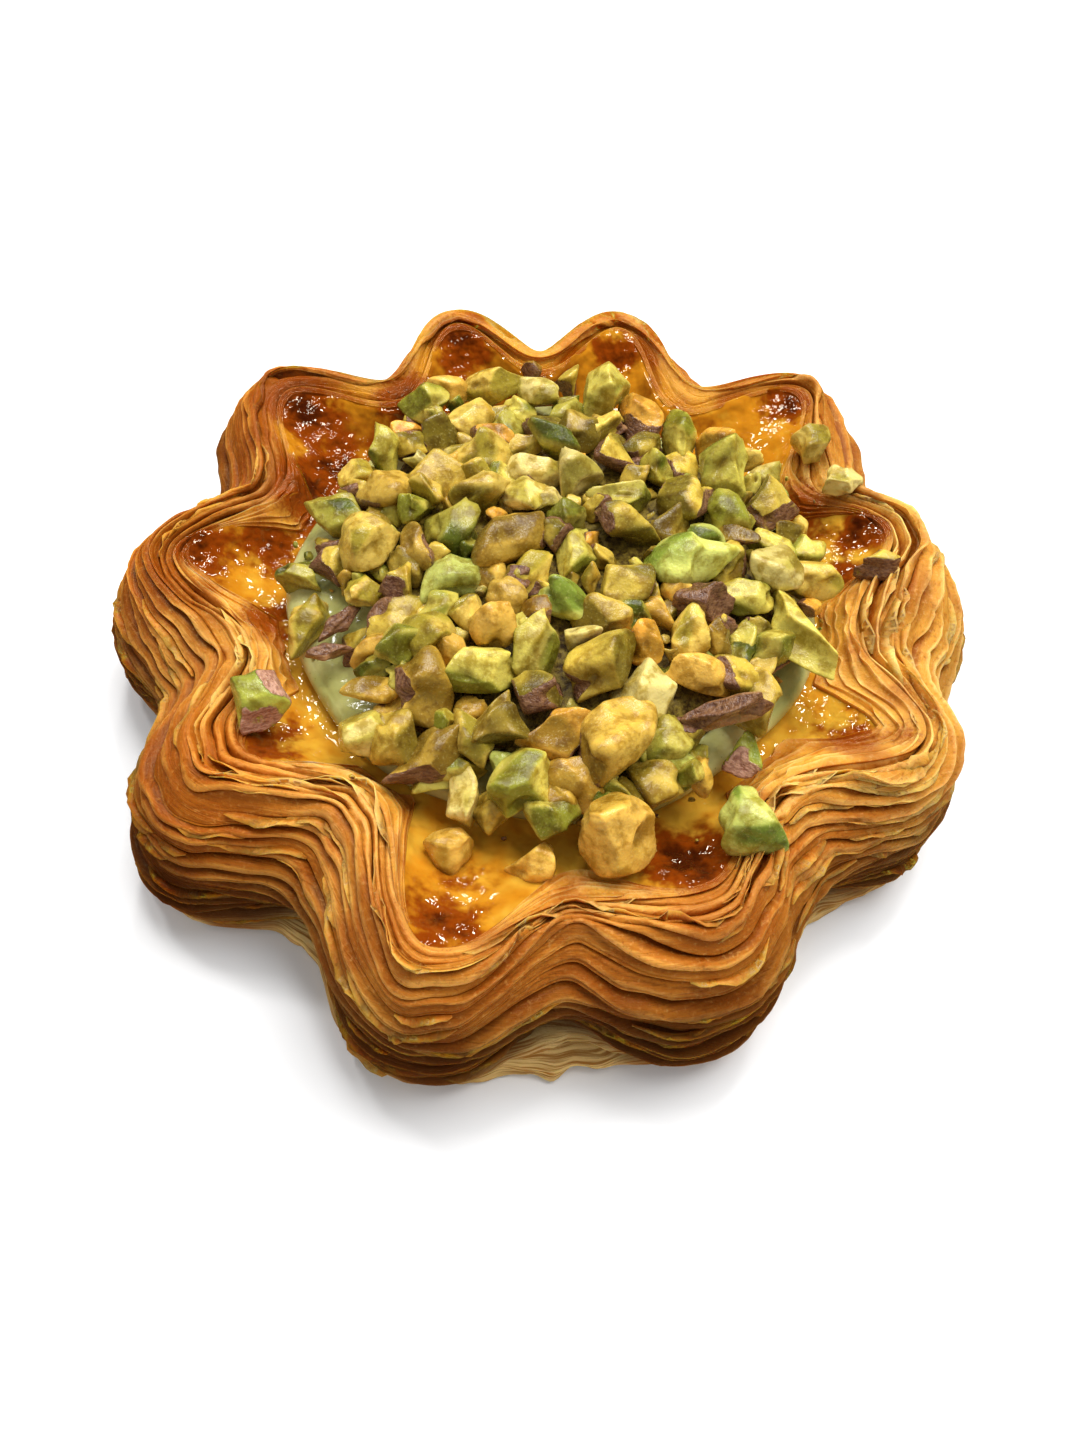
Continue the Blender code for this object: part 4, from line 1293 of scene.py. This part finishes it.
def cut_faces(block, draw):
    """A block's middle, and the direction and distance of its faces, with small chips off it."""
    corners = np.array([vert.co for vert in block.verts])
    centre = corners.mean(axis=0)
    normals = np.array([face.normal for face in block.faces])
    offsets = np.array([face.verts[0].co for face in block.faces]) - centre
    distances = np.maximum((normals * offsets).sum(axis=1), 0.05)
    chips = draw.normal(size=(CHIPS, 3))
    chips /= np.linalg.norm(chips, axis=1, keepdims=True)
    chip_reach = ((corners - centre) @ chips.T).max(axis=0) * draw.uniform(0.6, 0.92, CHIPS)
    return centre, np.concatenate([normals, chips]), np.concatenate([distances, chip_reach])


def sharing(closeness, power):
    """Each face's share in every point, the more alone the higher the power."""
    weight = closeness**power
    return weight / weight.sum(axis=1, keepdims=True)


def nut_masks(kind, directions, normals, closeness, dents, draw):
    """The colour of a nut's flesh at every point, with painted highlights on its edges and painted shade
    in its dents, and its masks of skin, pinkness and dents.
    """
    cut, outside, skinned = KINDS[kind]
    reachable = (normals[:, 2] < 0.35) | (kind in SKIN_ON_TOP)
    face_skin = ((draw.random(len(normals)) < skinned) & reachable).astype(float)
    outer_face = (draw.random(len(normals)) < 0.34).astype(float)
    weight, soft = sharing(closeness, 30), sharing(closeness, 9)
    drift = lumps_on_ball(directions, 14, 7, draw)
    greenness = 0.45 * weight @ outer_face + 0.9 * soft @ outer_face + 0.45 * drift
    greenness = held(greenness)[:, None]
    flesh = np.array(cut) * (1 - greenness) + np.array(outside) * greenness
    # Painted highlights along the edges and painted shade in the dents.
    nearest = np.sort(closeness, axis=1)[:, -2:]
    edge = held(1 - 7 * (nearest[:, 1] - nearest[:, 0]) / nearest[:, 1])[:, None]
    flesh = flesh * (1 + 0.2 * draw.uniform(-1, 1)) * (1 - 0.4 * dents[:, None]) * (0.92 + 0.24 * edge)
    skin = weight @ face_skin
    pink = np.full_like(skin, float(kind == "pink"))
    return held(flesh), np.stack([skin, pink, dents], axis=-1)


def kernel(block, kind, seed, detail):
    """A piece of nut cut as its block is, with softened edges and lumps, and its colour masks."""
    draw = np.random.default_rng(seed)
    directions, faces = ball(detail)
    centre, normals, distances = cut_faces(block, draw)
    closeness = np.maximum(directions @ normals.T, 0) / distances
    crispness = draw.choice((22, 36, 56))
    reach = (closeness**crispness).sum(axis=1) ** (-1 / crispness)
    roundness = max(0, draw.uniform(-0.45, 0.12)) + 0.45 * (kind in LUMPY) + 0.3 * (kind in ROUNDED)
    reach = reach * (1 - roundness) + 0.52 * roundness
    large = 0.36 if kind in LUMPY else 0.08
    fine = 0.13 if kind == "skin" else 0.045
    lumps = large * lumps_on_ball(directions, 14, 8, draw) + fine * lumps_on_ball(directions, 90, 40, draw)
    dents = held(lumps_on_ball(directions, 9, 9, draw) - 0.2)
    reach = reach * (1 + lumps - (0.15 if kind in LUMPY else 0.5) * dents)
    points = bent(centre + directions * reach[:, None], 0.055, 7, draw)
    return points, faces, *nut_masks(kind, directions, normals, closeness, dents, draw)


def laid_nut(nut, seed, carrier, lean, lift, detail):
    """A nut's points where it lies, clear of every node but its carrier, with its faces and masks."""
    x, y = spot_of(nut) * MM
    block = nut_block(seed)
    middle = float(ground_height(x, y)) + lift * nut[4] * MM + (0 if carrier else GAP)
    placement = nut_placement(nut, seed, middle, lean)
    rise = lift_clear(block, placement, carrier)
    points, *rest = kernel(block, nut[6], seed, detail)
    block.free()
    matrix = np.array(Matrix.Translation((0, 0, rise)) @ placement)
    points = points @ matrix[:3, :3].T + matrix[:3, 3]
    if carrier:
        points[:, 2] -= room_below(points, carrier)
    return points, *rest


def joined_kernels(name, rows, look, detail):
    """One piece from many nuts, each given by its nut, seed, carrier, tilt and lift."""
    laid, count = [], 0
    for row in rows:
        points, faces, flesh, skin = laid_nut(*row, detail)
        laid.append((points, faces + count, flesh, skin))
        count += len(points)
    points, faces, flesh, skin = (np.concatenate(values) for values in zip(*laid))
    return made_piece(name, points, faces, look, {"flesh": flesh, "skin": skin})


def build_nuts(look, bed):
    """The heap, its marked nuts finer than the rest, and apart from it the fallen nuts and crumbs."""
    def rows(places, seed, lean, lift, carrier=""):
        return [(nut, seed + n, carrier, lean, lift) for n, nut in enumerate(places)]

    places = nut_places()
    front = filler_places(places, *FRONT_FILLERS)
    front += filler_places(places + front, *RIGHT_FILLERS)
    larger = front + filler_places(places + front, *FILLERS)
    smaller = filler_places(places + larger, *BITS)
    heap_rows = rows(places, HEAP_SEED, HEAP_TILT, HEAP_LIFT)
    filler_rows = rows(larger, FILLER_SEED, FILLER_TILT, FILLER_LIFT)
    filler_rows += rows(SKIN_SCRAPS, SCRAP_SEED, SCRAP_TILT, SCRAP_LIFT)
    marked = len(HEAP_NUTS)
    heap = [
        joined_kernels("marked_kernels", heap_rows[:marked], look, 5),
        joined_kernels("chopped_kernels", heap_rows[marked:], look, 4),
        joined_kernels("filler_kernels", filler_rows, look, 4),
        joined_kernels("nut_bits", rows(smaller, BIT_SEED, BIT_TILT, FILLER_LIFT), look, 3),
        bed,
    ]
    for piece in heap:
        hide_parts("chopped_pistachios")
    strays = [
        (nut, STRAY_SEED + n, nut[7], STRAY_TILT, STRAY_LIFT) for n, nut in enumerate(STRAY_NUTS)
    ]
    crumbs = rows(crumb_places(), CRUMB_SEED, CRUMB_TILT, CRUMB_LIFT, "pistachio_cream")
    fallen = joined_kernels("stray_kernels", strays, look, 5)
    for piece in (fallen, joined_kernels("nut_crumbs", crumbs, look, 2)):
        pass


# ---- floor, light and camera ------------------------------------------------------------------

ROOM_BRIGHTNESS = 0.52
LARGEST_MIRRORED = 0.2
# The soft light overhead: place, size (m) and power (W).
OVERHEAD = ((0.24, 0.22, 0.74), 0.5, 5.2)
# The lights that are mirrored, in the same terms.
SPARKLES = (
    ((-0.08, 0.50, 0.46), 0.07, 0.8),
    ((0.20, 0.42, 0.55), 0.07, 0.7),
    ((-0.26, 0.26, 0.55), 0.07, 0.7),
    ((-0.05, 0.26, 0.68), 0.13, 1.2),
)
# The camera's place and aim (mm from the tart's middle), lens (mm) and roll (degrees).
CAMERA_PLACE = (0, -75.3, 103.9)
CAMERA_AIM = (0.4, -15.6, 10.0)
CAMERA_LENS = 24.8
CAMERA_ROLL = 6.4


def build_floor():
    """The plain pale floor."""
    bpy.ops.mesh.primitive_plane_add(size=4, location=(0, 0, CAD_BOX[0][2]))
    floor = bpy.context.object
    floor.name = "floor"
    look, tree = new_look("pale_floor")
    level = bumped(tree, (grain(tree, 20 * MM), 0.0))
    floor.data.materials.append(finish_look(look, (0.94, 0.94, 0.94), 0.8, level))
    floor.visible_glossy = False


def add_light(name, place, size, power):
    """A square studio light that faces the tart; only the small ones are mirrored in its glaze."""
    light = bpy.data.lights.new(name, "AREA")
    light.shape = "SQUARE"
    light.size = size
    light.energy = power
    lamp = bpy.data.objects.new(name, light)
    bpy.context.scene.collection.objects.link(lamp)
    lamp.location = place
    lamp.visible_glossy = size < LARGEST_MIRRORED
    lamp.rotation_euler = (-lamp.location).to_track_quat("-Z", "Y").to_euler()


def light_studio():
    """A bright even room, a soft light overhead, and small lights that make the glaze sparkle."""
    world = bpy.data.worlds.new("studio")
    bpy.context.scene.world = world
    world.use_nodes = True
    room = world.node_tree.nodes["Background"].inputs
    room["Color"].default_value = (1, 1, 1, 1)
    room["Strength"].default_value = ROOM_BRIGHTNESS
    world.cycles_visibility.glossy = False
    add_light("overhead", *OVERHEAD)
    for number, (place, size, power) in enumerate(SPARKLES):
        add_light(f"sparkle_{number}", place, size, power)
    bpy.context.scene.view_settings.view_transform = "Standard"


def place_camera():
    """A close, wide view from above the front, rolled a little."""
    camera = bpy.data.cameras.new("camera")
    camera.sensor_width = 36
    camera.lens = CAMERA_LENS
    camera.clip_start = 0.01
    made = bpy.data.objects.new("camera", camera)
    bpy.context.scene.collection.objects.link(made)
    place = MIDDLE + Vector(CAMERA_PLACE) * MM
    aim = MIDDLE + Vector(CAMERA_AIM) * MM
    facing = (aim - place).to_track_quat("-Z", "Y").to_matrix().to_4x4()
    roll = Matrix.Rotation(math.radians(CAMERA_ROLL), 4, "Z")
    made.matrix_world = Matrix.Translation(place) @ facing @ roll
    bpy.context.scene.camera = made


def main():
    """The tart from its crust to its nuts, then what stands round it."""
    pastry = pastry_look()
    build_crust(pastry)
    build_lining(pastry)
    build_flakes(pastry)
    build_custard(custard_look())
    build_cream(cream_look())
    build_nuts(nut_look(), build_nut_bed(bed_look()))
    build_floor()
    light_studio()
    place_camera()


main()
